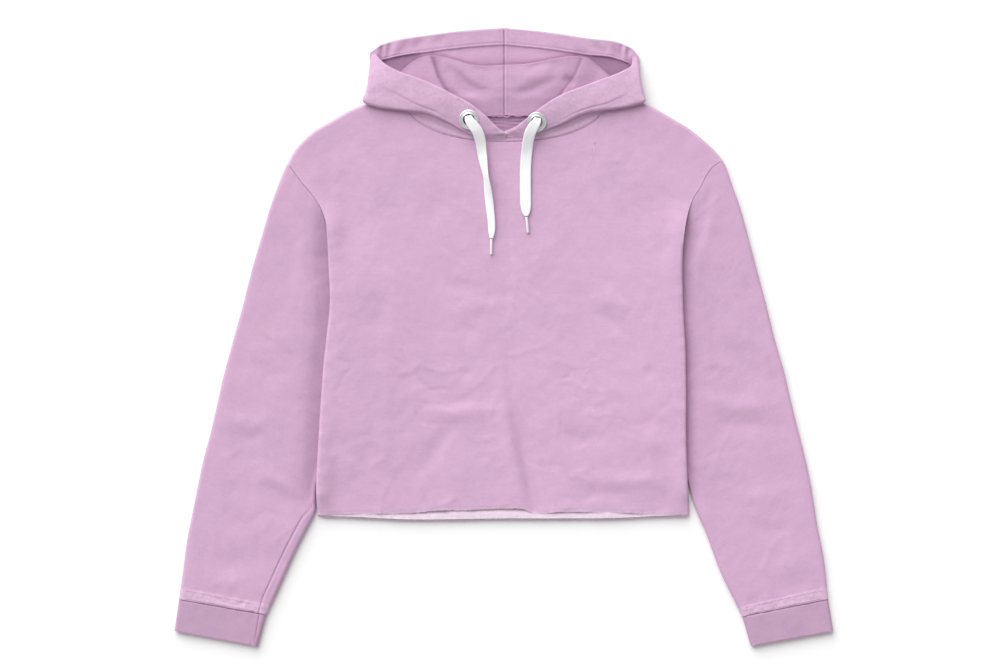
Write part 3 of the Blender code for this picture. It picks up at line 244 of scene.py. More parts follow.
AGLETS = {
    "left": ((-14.0, 112.4, 9.3), (-14.1, 94.1, 8.9)),
    "right": ((26.3, 137.8, 9.2), (28.2, 119.2, 8.9)),
}

# ---------------- sizes of the finer detail

# Height above the cloth, width of the flank on each side of the line, and the line (x, y)
FRONT_FOLDS = [
    (-1.2, 13, 8, [(5, -2), (8, -40), (12, -84)]),
    (-2.4, 19, 9, [(12, -70), (21, -118), (30, -160), (38, -212)]),
    (2.2, 8, 12, [(-3, -60), (3, -100), (11, -136), (20, -176), (26, -206)]),
    (-0.7, 8, 14, [(3, 196), (4, 120), (5, 52), (5, 10)]),
    (1.4, 9, 12, [(112, 58), (128, 40), (142, 26)]),
    (-1.3, 7, 10, [(110, 34), (124, 16), (134, 4)]),
    (-1.3, 8, 12, [(-208, -102), (-188, -125), (-172, -142)]),
    (0.8, 7, 9, [(-196, -120), (-178, -146), (-166, -164)]),
    (1.4, 8, 12, [(-92, -84), (-60, -85), (-30, -84), (-2, -86)]),
    (-0.9, 7, 8, [(-78, -82), (-54, -76), (-30, -74)]),
    (-1.4, 8, 11, [(-58, -100), (-70, -120), (-80, -136), (-92, -148)]),
    (-1.1, 9, 12, [(60, -114), (92, -117), (122, -116)]),
    (1.4, 9, 13, [(104, -166), (146, -166), (188, -162)]),
    (-0.9, 7, 9, [(84, -176), (112, -180), (144, -178)]),
    (-1.0, 8, 11, [(-138, 54), (-140, 24), (-141, 0)]),
    (0.5, 10, 12, [(-134, 38), (-133, -60), (-135, -172)]),
    (0.8, 9, 10, [(-57, 27), (-38, 35), (-10, 35), (12, 34)]),
    (-0.7, 8, 8, [(-84, 62), (-56, 58), (-28, 54)]),
    (-0.7, 7, 9, [(-54, 14), (-40, 6), (-28, -2)]),
    (-0.8, 7, 7, [(-52, -38), (-44, -42), (-36, -41)]),
    (0.7, 9, 9, [(112, -58), (134, -64), (158, -74)]),
    (-0.7, 8, 9, [(152, -94), (174, -100), (194, -107)]),
    (0.7, 8, 9, [(156, -116), (172, -122), (188, -130)]),
    (-0.9, 10, 12, [(-190, 165), (-179, 132), (-168, 98), (-164, 80)]),
    (-0.9, 9, 11, [(192, 124), (190, 102), (186, 80)]),
    (0.8, 9, 12, [(-172, 206), (-150, 176), (-140, 140)]),
    (-0.8, 9, 12, [(-204, 188), (-203, 165), (-203, 140)]),
    (-0.8, 8, 10, [(163, -34), (168, -41), (172, -48)]),
    (0.7, 12, 15, [(60, 150), (90, 120), (104, 86)]),
    (-0.6, 12, 14, [(-60, 170), (-84, 140), (-96, 110)]),
]
BACK_FOLDS = [
    (-1.0, 12, 16, [(-60, -190), (-40, -120), (-36, -60)]),
    (-0.9, 12, 14, [(80, -180), (70, -120), (84, -50)]),
    (-0.8, 14, 12, [(-150, 120), (-120, 90), (-96, 86)]),
    (-0.8, 14, 12, [(150, 130), (118, 96), (100, 90)]),
]
SLEEVE_FOLDS = {
    "left": [
        (1.7, 8, 12, [(-286, -150), (-264, -164), (-234, -181)]),
        (-1.3, 8, 10, [(-276, -166), (-256, -182), (-240, -190)]),
        (1.2, 9, 12, [(-326, -92), (-290, -99), (-258, -92)]),
        (-0.9, 9, 10, [(-318, -112), (-292, -118), (-270, -112)]),
        (0.9, 10, 12, [(-296, 60), (-272, 30), (-252, -10)]),
        (-0.9, 9, 12, [(-262, 130), (-246, 96), (-238, 52)]),
        (0.8, 10, 12, [(-342, -218), (-312, -232), (-282, -228)]),
        (-0.8, 8, 11, [(-336, -252), (-310, -262), (-284, -258)]),
        (0.7, 9, 9, [(-352, -278), (-322, -284), (-292, -288)]),
        (-0.7, 9, 9, [(-300, -20), (-276, -38), (-250, -44)]),
    ],
    "right": [
        (1.5, 8, 12, [(222, -72), (262, -79), (314, -76)]),
        (-1.3, 8, 10, [(244, -94), (280, -102), (314, -104)]),
        (1.2, 9, 12, [(254, 24), (276, 0), (298, -22)]),
        (-0.9, 9, 11, [(246, 4), (262, -16), (280, -36)]),
        (-1.2, 6, 9, [(234, 192), (237, 176), (234, 152), (226, 118), (214, 94), (208, 72)]),
        (1.0, 9, 10, [(240, 160), (238, 132), (228, 100), (222, 60)]),
        (0.8, 10, 12, [(258, -178), (296, -186), (330, -180)]),
        (-0.8, 9, 10, [(270, -214), (300, -224), (336, -220)]),
        (0.8, 9, 10, [(288, -262), (318, -268), (350, -262)]),
        (-0.7, 9, 9, [(300, -286), (326, -290), (356, -286)]),
    ],
}
UNDER_SLEEVE_FOLDS = {
    "left": [(0.9, 10, 14, [(-320, -60), (-290, -80), (-250, -76)]),
             (0.8, 10, 12, [(-340, -180), (-310, -196), (-270, -190)])],
    "right": [(0.9, 10, 14, [(250, -50), (286, -72), (316, -66)]),
              (0.8, 10, 12, [(268, -196), (306, -206), (342, -196)])],
}
INNER_FOLDS = {
    "left": [
        (-3.0, 5, 9, [(-66, 310), (-50, 298), (-40, 289), (-27, 283), (-12, 282)]),
        (1.5, 8, 10, [(-70, 300), (-54, 284), (-40, 276), (-22, 273)]),
        (-1.1, 4, 6, [(-58, 292), (-46, 283), (-34, 279)]),
        (-0.7, 6, 8, [(-36, 312), (-22, 305), (-8, 303)]),
    ],
    "right": [
        (-2.3, 6, 6, [(12, 280), (30, 283), (44, 289), (62, 297)]),
        (-1.1, 5, 6, [(27, 303), (38, 311), (56, 317)]),
        (-2.4, 5, 5, [(68, 298), (76, 294), (83, 289)]),
        (-1.0, 8, 8, [(50, 306), (60, 310), (72, 314)]),
        (1.0, 9, 9, [(20, 296), (38, 302), (58, 310)]),
    ],
}
BRIM_FOLDS = {
    "left": [(0.8, 4, 5, [(-147, 326), (-141, 322), (-134, 321)]),
             (-2.2, 3, 3, [(-140, 337), (-140, 329), (-141, 318)]),
             (1.2, 3, 3, [(-136, 337), (-136, 328), (-136, 320)]),
             (-1.8, 3, 4, [(-131, 339), (-132, 330), (-134, 319)]),
             (0.9, 4, 4, [(-124, 340), (-124, 331), (-126, 322)]),
             (-1.5, 5, 5, [(-108, 340), (-116, 331), (-124, 323)]),
             (-1.2, 5, 5, [(-92, 343), (-100, 335), (-108, 330)]),
             (-0.8, 5, 6, [(-66, 346), (-74, 340), (-84, 336)])],
    "right": [(0.8, 4, 5, [(150, 324), (144, 321), (138, 320)]),
              (-2.2, 3, 3, [(144, 336), (143, 326), (145, 312)]),
              (1.1, 3, 3, [(140, 335), (139, 327), (139, 318)]),
              (-1.8, 3, 3, [(136, 337), (135, 330), (136, 318)]),
              (-1.6, 4, 4, [(127, 336), (129, 328), (131, 318)]),
              (-1.4, 5, 4, [(104, 337), (112, 330), (118, 325)]),
              (0.6, 5, 5, [(118, 338), (112, 332), (108, 326)]),
              (-0.8, 5, 6, [(100, 330), (90, 325), (80, 327)])],
}
CORNER_BULGE = {  # rounds the hood's side below each top corner
    "left": dict(height=6.2, reach=10.0), "right": dict(height=5.0, reach=11.0),
}
CHANNEL = {  # stitch line of the cord's channel
    "left": [(-144, 287), (-127, 280), (-110, 271), (-95, 264), (-79, 258), (-62, 249)],
    "right": [(148, 282), (130, 272), (117, 266.5), (100, 262.5), (82, 256), (64, 247)],
}
BAND_FOLDS = {
    "left": [(-0.5, 5, 6, [(-150, 282), (-128, 274), (-112, 266)]),
             (0.6, 6, 7, [(-100, 259), (-84, 254), (-66, 247)])],
    "right": [(-0.6, 5, 6, [(150, 276), (132, 268), (118, 264)]),
              (0.6, 6, 7, [(106, 259), (88, 254), (70, 247)])],
}
GRAIN = 0.22  # depth of the cloth's soft unevenness
CRUMPLE = 0.75  # depth of its fine creases
FOLD_GAIN = 1.35  # strength of the body's creases
# How the front comes down from where it covers the sleeves: beside its edge, then more gently
# across the body. This sets in and dies out between two pairs of y.
FRONT_SLOPE = dict(edge=(4.0, 26.0), across=130.0, top=(160.0, 60.0), low=(-90.0, -216.0))
HEM_PUFF = dict(height=3.9, reach=(15.0, 3.0))  # how the back's raw hem stands up
HEM_THINNING = dict(depth=0.7, reach=(4.0, 0.0))  # how the front's thins out
NECK_RIBS = dict(height=0.28, pitch=4.6)  # slack ribs of cloth on the back inside the neck
UNDERARM_TURN = (122.0, 84.0)  # y between which the side's fold closes
SHOULDER_TURN = (0.0, 14.0)  # and how far from the neck the shoulder's does
ARMHOLE_REACH = 0.30  # share of the sleeve that the armhole's curve takes
SLEEVE_TROUGH = 1.9  # dip of the sleeve beside the body
CROWN_RISE = 1.6  # how far the hood's back climbs to its inner folds
LIP_SPAN = 0.5  # rows over which the way in from the lip is taken
SEWN_ROWS = (7.2, 8.0)  # rows of a band over which it joins the neck seam
SEAM_UNDER = 2.6  # how far the hood's bands go under the neck seam
SEAM_HEIGHT = 4.9  # and at what height
STAND_HEIGHT = 6.9  # height of the hood's foot beside that seam
INNER_STEP = 2.6  # height of the hood's inner folds over its middle
CUFF_STITCH_BAND = 11.5  # coverstitched seam allowance above each cuff
# How far the left underarm seam, the only one that shows, lies in from the sleeve's inner fold
UNDERARM_SEAM = dict(places=(0.652, 0.731, 0.96, 1.0), inset=(-3.8, 6.5, 8.8, 5.5))
CUFF_SEAM = (4.2, 0.4)  # the same seam at the cuff's start and its end
CROWN_SEAM_SPAN = (353.0, 315.0)  # y of the seam's stitches on the hood's back
INSIDE_SEAM_SPAN = (308.0, 257.0)  # and inside the opening
SEAM_STITCH = 4.2  # from a seam to the stitches beside it
BRIM_STITCH = 2.6  # from the brim hem's edge to its stitches
STITCH = dict(pitch=3.0, length=2.2, radius=0.36)

CLOTH_MAP = "ClothMap"
# Vertex attribute of wear and of painted light and shade: above zero the cloth is painted paler, below
# zero darker
WEAR_AND_PAINTED_SHADING = "wear_and_painted_shading"


# ---------------- curves and tables

def smooth(low, high, value):
    """0 at low, 1 at high, with an even start and stop; low may be the larger one."""
    share = np.clip((value - low) / (high - low), 0.0, 1.0)
    return share * share * (3.0 - 2.0 * share)


def fade(distance, width):
    """1 on a line, dying out over the given width on both sides of it."""
    return np.exp(-(distance / width) ** 2)


def unit(vectors):
    return vectors / np.linalg.norm(vectors, axis=-1, keepdims=True)


def square_to(along):
    """Unit vectors on the plan, square to the given ones and on their right."""
    return unit(np.stack((along[..., 1], -along[..., 0]), -1))


def hermite(knots, values, slopes, place):
    """Smooth reading of rows of values at the given knots, for a place or an array of places."""
    place = np.asarray(place, float)
    row = np.clip(np.searchsorted(knots, place) - 1, 0, len(knots) - 2)
    span = (knots[row + 1] - knots[row])[..., None]
    share = (place - knots[row])[..., None] / span
    rest = 1.0 - share
    return ((1 + 2 * share) * rest * rest * values[row] + share * rest * rest * span * slopes[row]
            + share * share * (3 - 2 * share) * values[row + 1]
            - share * share * rest * span * slopes[row + 1])


class Curve:
    """A smooth line through plan points, read by its share of the length."""

    def __init__(self, points):
        self.points = np.array(points, float)
        steps = np.linalg.norm(np.diff(self.points, axis=0), axis=1)
        self.knots = np.concatenate(([0.0], np.cumsum(steps)))
        self.slopes = np.gradient(self.points, self.knots, axis=0)
        self.length = self.knots[-1]
        dense = self.at(np.linspace(0.0, 1.0, 161))
        self.dense = dense[np.argsort(dense[:, 0])]

    def at(self, share):
        return hermite(self.knots, self.points, self.slopes, np.asarray(share) * self.length)

    def share_of_row(self, row):
        return self.knots[row] / self.length

    def normal(self, share, towards):
        """Unit vector square to the line, on the side of the X direction given."""
        step = 0.004
        along = self.at(np.minimum(share + step, 1.0)) - self.at(np.maximum(share - step, 0.0))
        across = square_to(along)
        return across * np.where(across[..., :1] * towards < 0, -1.0, 1.0)

    def at_x(self, x):
        return np.stack((x, np.interp(x, self.dense[:, 0], self.dense[:, 1])), -1)

    def x_at(self, y):
        return np.interp(-y, -self.points[:, 1], self.points[:, 0])


class Table:
    """Rows of numbers under named columns, read smoothly between the rows."""

    def __init__(self, columns, rows):
        self.columns = columns
        self.rows = np.array(rows, float)
        self.knots = np.arange(len(rows), dtype=float)
        self.slopes = np.gradient(self.rows, axis=0)

    def at(self, row):
        values = hermite(self.knots, self.rows, self.slopes, row)
        return {name: values[..., column] for column, name in enumerate(self.columns)}


def fold_height(folds, x, y):
    """Sum of the soft folds at points of the plan."""
    total = np.zeros(np.shape(x))
    for height, left_width, right_width, points in folds:
        line = Curve(points).at(np.linspace(0.0, 1.0, 4 * len(points)))
        nearest, whole = np.full(total.shape, 1e9), np.zeros(total.shape)
        is_left = np.zeros(total.shape, bool)
        for part, (start, stop) in enumerate(zip(line, line[1:])):
            along = stop - start
            share = ((x - start[0]) * along[0] + (y - start[1]) * along[1]) / (along @ along)
            share = np.clip(share, 0.0, 1.0)
            off_x, off_y = x - start[0] - share * along[0], y - start[1] - share * along[1]
            distance = np.hypot(off_x, off_y)
            closer = distance < nearest
            nearest = np.where(closer, distance, nearest)
            whole = np.where(closer, (part + share) / (len(line) - 1), whole)
            is_left = np.where(closer, along[0] * off_y - along[1] * off_x > 0, is_left)
        width = np.where(is_left, left_width, right_width)
        total += height * np.sin(pi * (0.05 + 0.9 * whole)) * fade(nearest, width)
    return total


def uneven(x, y, size, seed=0.0):
    """Soft noise from about -1 to 1, of the given size in millimetres.

    Each use has a seed of its own, here and in the functions below, so that none looks alike.
    """
    flat = [noise.noise(Vector((a / size, b / size, seed)))
            for a, b in zip(np.ravel(x), np.ravel(y))]
    return np.reshape(flat, np.shape(x)) * 2.0


def soft_grain(x, y, seed=0.0):
    """Height of the cloth's own unevenness."""
    return GRAIN * (uneven(x, y, 34.0, seed) * 1.6 + uneven(x, y, 11.0, seed + 7.0) * 0.7
                    + uneven(x, y, 4.0, seed + 19.0) * 0.28)


def crumple(x, y, seed):
    """Fine creases, from 0 to 1: thin lines of uneven length and direction."""
    bend = 16.0 * uneven(x, y, 70.0, seed + 3.0)
    turned_x, turned_y = 0.85 * x + 0.53 * y, 0.85 * y - 0.53 * x
    lines = 1.0 - np.abs(uneven(turned_x + bend, (turned_y + 0.6 * bend) * 1.5, 46.0, seed))
    patches = smooth(-0.1, 0.6, uneven(x, y, 58.0, seed + 5.0))
    return np.clip(lines, 0.0, 1.0) ** 8 * patches


def groove(distance, depth, width):
    return -depth * fade(distance, width)


def pucker(distance, along, seed, pitch=11.0, reach=9.0, height=0.35):
    """Small gathers square to a seam, which die out away from it."""
    wave = uneven(along, np.zeros(np.shape(along)), pitch, seed)
    return height * wave * fade(distance, reach)


# ---------------- the garment's lines

outline = {side: Curve(OUTLINE[side]) for side in SIDES}
shoulder_share = {side: outline[side].share_of_row(SHOULDER_POINT[side]) for side in SIDES}
front_hem, back_hem = Curve(FRONT_HEM), Curve(BACK_HEM)
sleeve_inner = {side: Curve(SLEEVE_INNER[side]) for side in SIDES}
bands = {side: Table(BAND_COLUMNS, BANDS[side]) for side in SIDES}
bands_edge = {side: Curve([row[:2] for row in BANDS[side]]) for side in SIDES}


def shoulder_corner(side):
    """Plan point where the side line starts, at the dropped shoulder."""
    share = shoulder_share[side]
    return outline[side].at(share) + outline[side].normal(share, -OUTWARD[side]) * FOLD_RADIUS


side_line = {side: Curve([tuple(shoulder_corner(side))] + SIDE[side]) for side in SIDES}
underarm_share = {side: side_line[side].share_of_row(UNDERARM[side]) for side in SIDES}


def side_share(side, t):
    """Share of the side line at a share of the panel's height."""
    share = underarm_share[side]
    return np.where(t < UNDERARM_T, share * t / UNDERARM_T,
                    share + (1.0 - share) * (t - UNDERARM_T) / (1.0 - UNDERARM_T))


def neckline(x, drop):
    """y of the neckline that hangs down by the given drop."""
    share = np.minimum(np.abs(x - NECK_CENTRE) / NECK_HALF_WIDTH, 1.0)
    return NECK_TOP - drop * (1.0 - share ** NECK_POWER) ** (1.0 / NECK_POWER)


# ---------------- heights of the cloth

def by_side(x, left, right):
    return np.where(x < 0, left, right)


def tuck(side, y):
    """1 where the body lies on the sleeve, and 0 above and below that."""
    span = TUCK_SPAN[side]
    return smooth(*span["upper"], y) * (1.0 - smooth(*span["lower"], y))


def both_tucks(x, y):
    return by_side(x, tuck("left", y), tuck("right", y))


def inside_edge(side, x, y):
    """Distance in from the body's side line, negative outside it."""
    return OUTWARD[side] * (side_line[side].x_at(y) - x)


def inside_body(x, y):
    return by_side(x, inside_edge("left", x, y), inside_edge("right", x, y))


def inside_shoulder(x, y):
    """Distance in from the shoulder line, or from its end at the neck."""
    across = np.abs(x - NECK_CENTRE) - NECK_HALF_WIDTH
    line_y = by_side(x, outline["left"].at_x(x)[..., 1], outline["right"].at_x(x)[..., 1])
    return np.where(across < 0, np.hypot(across, NECK_TOP - y), SHOULDER_COSINE * (line_y - y))


def back_underside(x, y):
    """The back lies on the floor, and on the sleeves at its sides."""
    near = 1.0 - smooth(TUCK_FLAT, TUCK_FLAT + TUCK_SLOPE, inside_body(x, y))
    return TUCK_LIFT * both_tucks(x, y) * near


def front_lift(x, y):
    """The front follows the back at its sides, and comes down more gently inside them."""
    inside = inside_body(x, y)
    at_edge = 1.0 - smooth(*FRONT_SLOPE["edge"], inside)
    near = 1.0 - smooth(TUCK_FLAT, TUCK_FLAT + FRONT_SLOPE["across"], inside)
    gentle = smooth(*FRONT_SLOPE["top"], y) * (1.0 - smooth(*FRONT_SLOPE["low"], y))
    return TUCK_LIFT * (both_tucks(x, y) * at_edge + gentle * np.maximum(near - at_edge, 0.0))


def front_top(x, y):
    """Height of the front, with its creases."""
    distance = np.minimum(inside_body(x, y), inside_shoulder(x, y))
    near = 1.0 - smooth(FOLD_RADIUS, FOLD_REACH, distance)
    depth = BODY_DEPTH + (2.0 * FOLD_RADIUS - BODY_DEPTH) * near
    folds = FOLD_GAIN * fold_height(FRONT_FOLDS, x, y) * smooth(0.0, 20.0, distance)
    return front_lift(x, y) + depth + folds


def back_thickness(x, y):
    """The back is thin cloth, but puffs up where its raw hem shows below the front's."""
    up = y - back_hem.at_x(x)[..., 1]
    return BACK_WALL + HEM_PUFF["height"] * smooth(*HEM_PUFF["reach"], up)


def front_thickness(x, y):
    """The front thins out at its raw hem."""
    up = y - front_hem.at_x(x)[..., 1]
    return FRONT_WALL - HEM_THINNING["depth"] * smooth(*HEM_THINNING["reach"], up)


def rest_on(height, low):
    """Holds the cloth up where a fold would sink through the layer below it."""
    over = height - low
    return low + np.where(over > 1.0, over, np.exp(np.minimum(over, 1.0) - 1.0))


def sleeve_top(side, x, y):
    """Height of the sleeve, with its creases."""
    outside = -inside_edge(side, x, y)
    pressed = tuck(side, y) * (1.0 - smooth(0.0, TUCK_SHOULDER, outside))
    depth = 2.0 * FOLD_RADIUS * (1.0 - pressed) + TUCK_DEPTH * pressed
    return depth + fold_height(SLEEVE_FOLDS[side], x, y) * smooth(4.0, 20.0, outside)


# ---------------- surfaces: points, way out, map

def stack(plan, height):
    """Points from plan points and their height."""
    return np.concatenate((plan, np.broadcast_to(height, plan.shape[:-1])[..., None]), -1)


def turn_reach(turn):
    """How far an edge sticks out past the line where it starts to turn down."""
    return (FOLD_RADIUS * np.sin(np.radians(np.minimum(turn, 90.0))))[..., None]


class BodyPanel:
    """Front or back; s runs across from left to right and t from top to hem, as in the solids."""

    def __init__(self, front):
        self.front = front
        self.hem = front_hem if front else back_hem
        self.drop = FRONT_NECK_DROP if front else BACK_NECK_DROP
        seam_turn = np.degrees(SIDE_SEAM / FOLD_RADIUS)
        self.full_turn = FRONT_FOLD_TURN if front else 180.0 - FRONT_FOLD_TURN - seam_turn
        self.corners = {side: self.side_edge(side, np.array(0.0)) for side in SIDES}
        self.left = outline["left"].at(shoulder_share["left"])[0]
        self.width = outline["right"].at(shoulder_share["right"])[0] - self.left

    def turned(self, share):
        """Degrees that an edge is turned down, from an open one to a full fold."""
        return EDGE_TURN + (self.full_turn - EDGE_TURN) * share

    def side_normal(self, side, t):
        return side_line[side].normal(side_share(side, t), -OUTWARD[side])

    def side_turn(self, side, t):
        y = side_line[side].at(side_share(side, t))[..., 1]
        return self.turned(smooth(*UNDERARM_TURN, y))

    def side_edge(self, side, t):
        inward = self.side_normal(side, t) * turn_reach(self.side_turn(side, t))
        return side_line[side].at(side_share(side, t)) + inward

    def top_point(self, s):
        """Neck and shoulder line, the way into the panel and the turn."""
        x = self.left + self.width * s
        across = np.abs(x - NECK_CENTRE) - NECK_HALF_WIDTH
        is_neck = (across < 0)[..., None]
        lines = []
        for side in SIDES:
            line = outline[side]
            ahead = line.at_x(x + 0.6) - line.at_x(x - 0.6)
            corner = (s < 1e-6) if side == "left" else (s > 1.0 - 1e-6)
            inward = np.where(corner[..., None],
                              line.normal(shoulder_share[side], -OUTWARD[side]), square_to(ahead))
            point = np.where((across > 0.5)[..., None], line.at_x(x),
                             np.stack((x, np.full(x.shape, NECK_TOP)), -1))
            lines.append((point, inward))
        is_left = (x < NECK_CENTRE)[..., None]
        point = np.where(is_left, lines[0][0], lines[1][0])
        inward = np.where(is_left, lines[0][1], lines[1][1])
        point = np.where(is_neck, np.stack((x, neckline(x, self.drop)), -1), point)
        inward = np.where(is_neck, np.array((0.0, -1.0)), inward)
        turn = np.where(is_neck[..., 0], EDGE_TURN, self.turned(smooth(*SHOULDER_TURN, across)))
        return point, inward, turn

    def top_fold(self, s):
        point, inward, turn = self.top_point(s)
        return point + inward * turn_reach(turn)

    def top_edge(self, s):
        edge = self.top_fold(s)
        for side, corner_s in (("left", 0.0), ("right", 1.0)):
            fade = np.maximum(0.0, 1.0 - np.abs(s - corner_s) / CORNER_REACH)[..., None]
            edge = edge + (self.corners[side] - self.top_fold(np.array(corner_s))) * fade
        return edge

    def plan(self, s, t):
        """Plan points, blended between the panel's four edges."""
        left, right = self.side_edge("left", t), self.side_edge("right", t)
        start = self.side_edge("left", np.array(1.0))
        stop = self.side_edge("right", np.array(1.0))
        low = self.hem.at_x(start[0] + (stop[0] - start[0]) * s)
        low_left, low_right = self.hem.at_x(start[0]), self.hem.at_x(stop[0])
        s, t = s[..., None], t[..., None]
        corners = ((1 - s) * (1 - t) * self.corners["left"] + s * (1 - t) * self.corners["right"]
                   + (1 - s) * t * low_left + s * t * low_right)
        to_hem = (1 - s) * (low_left - start) + s * (low_right - stop)
        return ((1 - s) * left + s * right + (1 - t) * self.top_edge(s[..., 0]) + t * low
                - corners + to_hem * t * t)

    def detail(self, x, y):
        """Fine relief on the flat cloth."""
        edge = inside_body(x, y)
        hem = y - self.hem.at_x(x)[..., 1]
        relief = soft_grain(x, y, 3.0 if self.front else 31.0)
        creased = CRUMPLE * (0.35 + 0.65 * smooth(90.0, -60.0, y)) * smooth(4.0, 24.0, edge)
        relief += creased * (crumple(x, y, 12.0) - crumple(-x, y, 57.0))
        relief += pucker(edge, y, 5.0) * smooth(-6.0, 4.0, edge)
        if self.front:
            relief += 0.4 * uneven(x, np.zeros(x.shape), 26.0, 11.0) * fade(hem, 7.0)
            relief += groove(inside_edge("right", x, y) - 3.4, 0.7, 0.9) * smooth(96.0, 60.0, y)
            relief += pucker(y - neckline(x, self.drop), x, 23.0, height=0.3)
        return relief * smooth(0.0, 3.0, edge)

    def flat_place(self, s, t):
        """s and t without the turned edges, and the plan points there."""
        flat_s, flat_t = np.clip(s, 0.0, 1.0), np.maximum(t, 0.0)
        return flat_s, flat_t, self.plan(flat_s, flat_t)

    def surface(self, s, t):
        """Points, way out of the cloth, map, and wear with painted light and shade."""
        flat_s, flat_t, plan = self.flat_place(s, t)
        x, y = plan[..., 0], plan[..., 1]
        way_up = 1.0 if self.front else -1.0
        if self.front:
            thickness = front_thickness(x, y)
            height = rest_on(front_top(x, y) + self.detail(x, y) + thickness - FRONT_WALL,
                             back_underside(x, y) + back_thickness(x, y) + thickness)
        else:
            crease = fold_height(BACK_FOLDS, x, y) + self.detail(x, y) - 1.0
            inside = smooth(2.0, 30.0, inside_body(x, y))
            height = back_underside(x, y) - np.minimum(crease, 0.0) * inside
            height = np.where(height > 0, height, 0.0)
        points = stack(plan, height)
        outward = np.zeros(points.shape)
        outward[..., 2] = way_up
        turns = []
        for side, past in (("left", np.maximum(-s, 0.0)), ("right", np.maximum(s - 1.0, 0.0))):
            turns.append((past * self.side_turn(side, flat_t), -self.side_normal(side, flat_t)))
        _, inward, full = self.top_point(flat_s)
        turns.append((np.maximum(-t, 0.0) * full, -inward))
        for degrees, away in turns:
            turn = np.radians(degrees)[..., None]
            points[..., :2] += away * FOLD_RADIUS * np.sin(turn)
            points[..., 2] -= way_up * FOLD_RADIUS * (1.0 - np.cos(turn[..., 0]))
            outward = outward * np.cos(turn)
            outward[..., :2] += away * np.sin(turn)
        # Paler at the raw hem
        wear_and_painted_shading = fade(y - self.hem.at_x(x)[..., 1], 3.0)
        if self.front:
            # Paler along the body's side folds; painted shade darkens the front's creases by their
            # depth
            wear_and_painted_shading = wear_and_painted_shading + 0.15 * fade(inside_body(x, y), 8.0)
            wear_and_painted_shading = wear_and_painted_shading - 0.022 * np.maximum(-fold_height(FRONT_FOLDS, x, y), 0.0)
        else:
            # Painted shade on the back's inner face where it shows inside the neck opening
            wear_and_painted_shading = wear_and_painted_shading - self.inside_neck(x, y)
        return points, outward, plan, wear_and_painted_shading

    def inside_neck(self, x, y):
        """1 on the back's inner face where it shows in the neck opening."""
        return smooth(64.0, 48.0, np.abs(x)) * smooth(210.0, 222.0, y)

    def front_wall(self, s, t):
        _, _, plan = self.flat_place(s, t)
        return front_thickness(plan[..., 0], plan[..., 1])

    def ribbed_wall(self, s, t):
        """Thickness of the back, with slack ribs of cloth inside the neck."""
        _, _, plan = self.flat_place(s, t)
        x, y = plan[..., 0], plan[..., 1]
        wave = np.sin(2 * pi * y / NECK_RIBS["pitch"] + 2.5 * uneven(x, y, 18.0, 17.0))
        ribs = NECK_RIBS["height"] * wave * (1.0 + uneven(x, y, 9.0, 29.0))
        return back_thickness(x, y) + (WALL - BACK_WALL + ribs) * self.inside_neck(x, y)


def off_folds(q, width):
    """0 at both folds of a tube and 1 between them."""
    return smooth(0.0, width, q) * smooth(1.0, 1.0 - width, q)


class Tube:
    """A flattened tube, s once round it in four stretches and t along it, as in the solids."""

    def surface(self, s, t):
        stretch, share = np.floor(s % 4.0).astype(int), (s % 4.0) % 1.0
        q = np.choose(stretch, (share, np.ones(s.shape), 1.0 - share, np.zeros(s.shape)))
        turn = pi * np.choose(stretch, (0.0 * share, share, np.ones(s.shape), 1.0 - share))
        here, away = self.across(q, t), self.outward(q, t)
        is_fold = ((stretch == 1) | (stretch == 3))[..., None]
        depth = self.depth(q, t)
        radius = (depth / 2.0)[..., None]
        fold_turn = turn[..., None]
        plan = here + np.where(is_fold, away * radius * np.sin(fold_turn), 0.0)
        height = np.where(is_fold[..., 0], depth / 2.0 * (1.0 + np.cos(turn)),
                          np.where(stretch == 0, depth, 0.0))
        flat_out = stack(np.zeros(plan.shape), np.where(stretch == 0, 1.0, -1.0))
        fold_out = stack(away * np.sin(fold_turn), np.cos(turn))
        outward = np.where(is_fold, fold_out, flat_out)
        points = stack(plan, height)
        relief = self.detail(q, t, plan) * np.where(stretch == 0, 1.0, 0.0)
        points += outward * relief[..., None]
        relief = self.under_detail(q, t, plan) * np.where(stretch == 2, 1.0, 0.0)
        points -= outward * np.abs(relief)[..., None]
        return points, outward, self.map(s, t), self.wear_and_painted_shading(q, t)


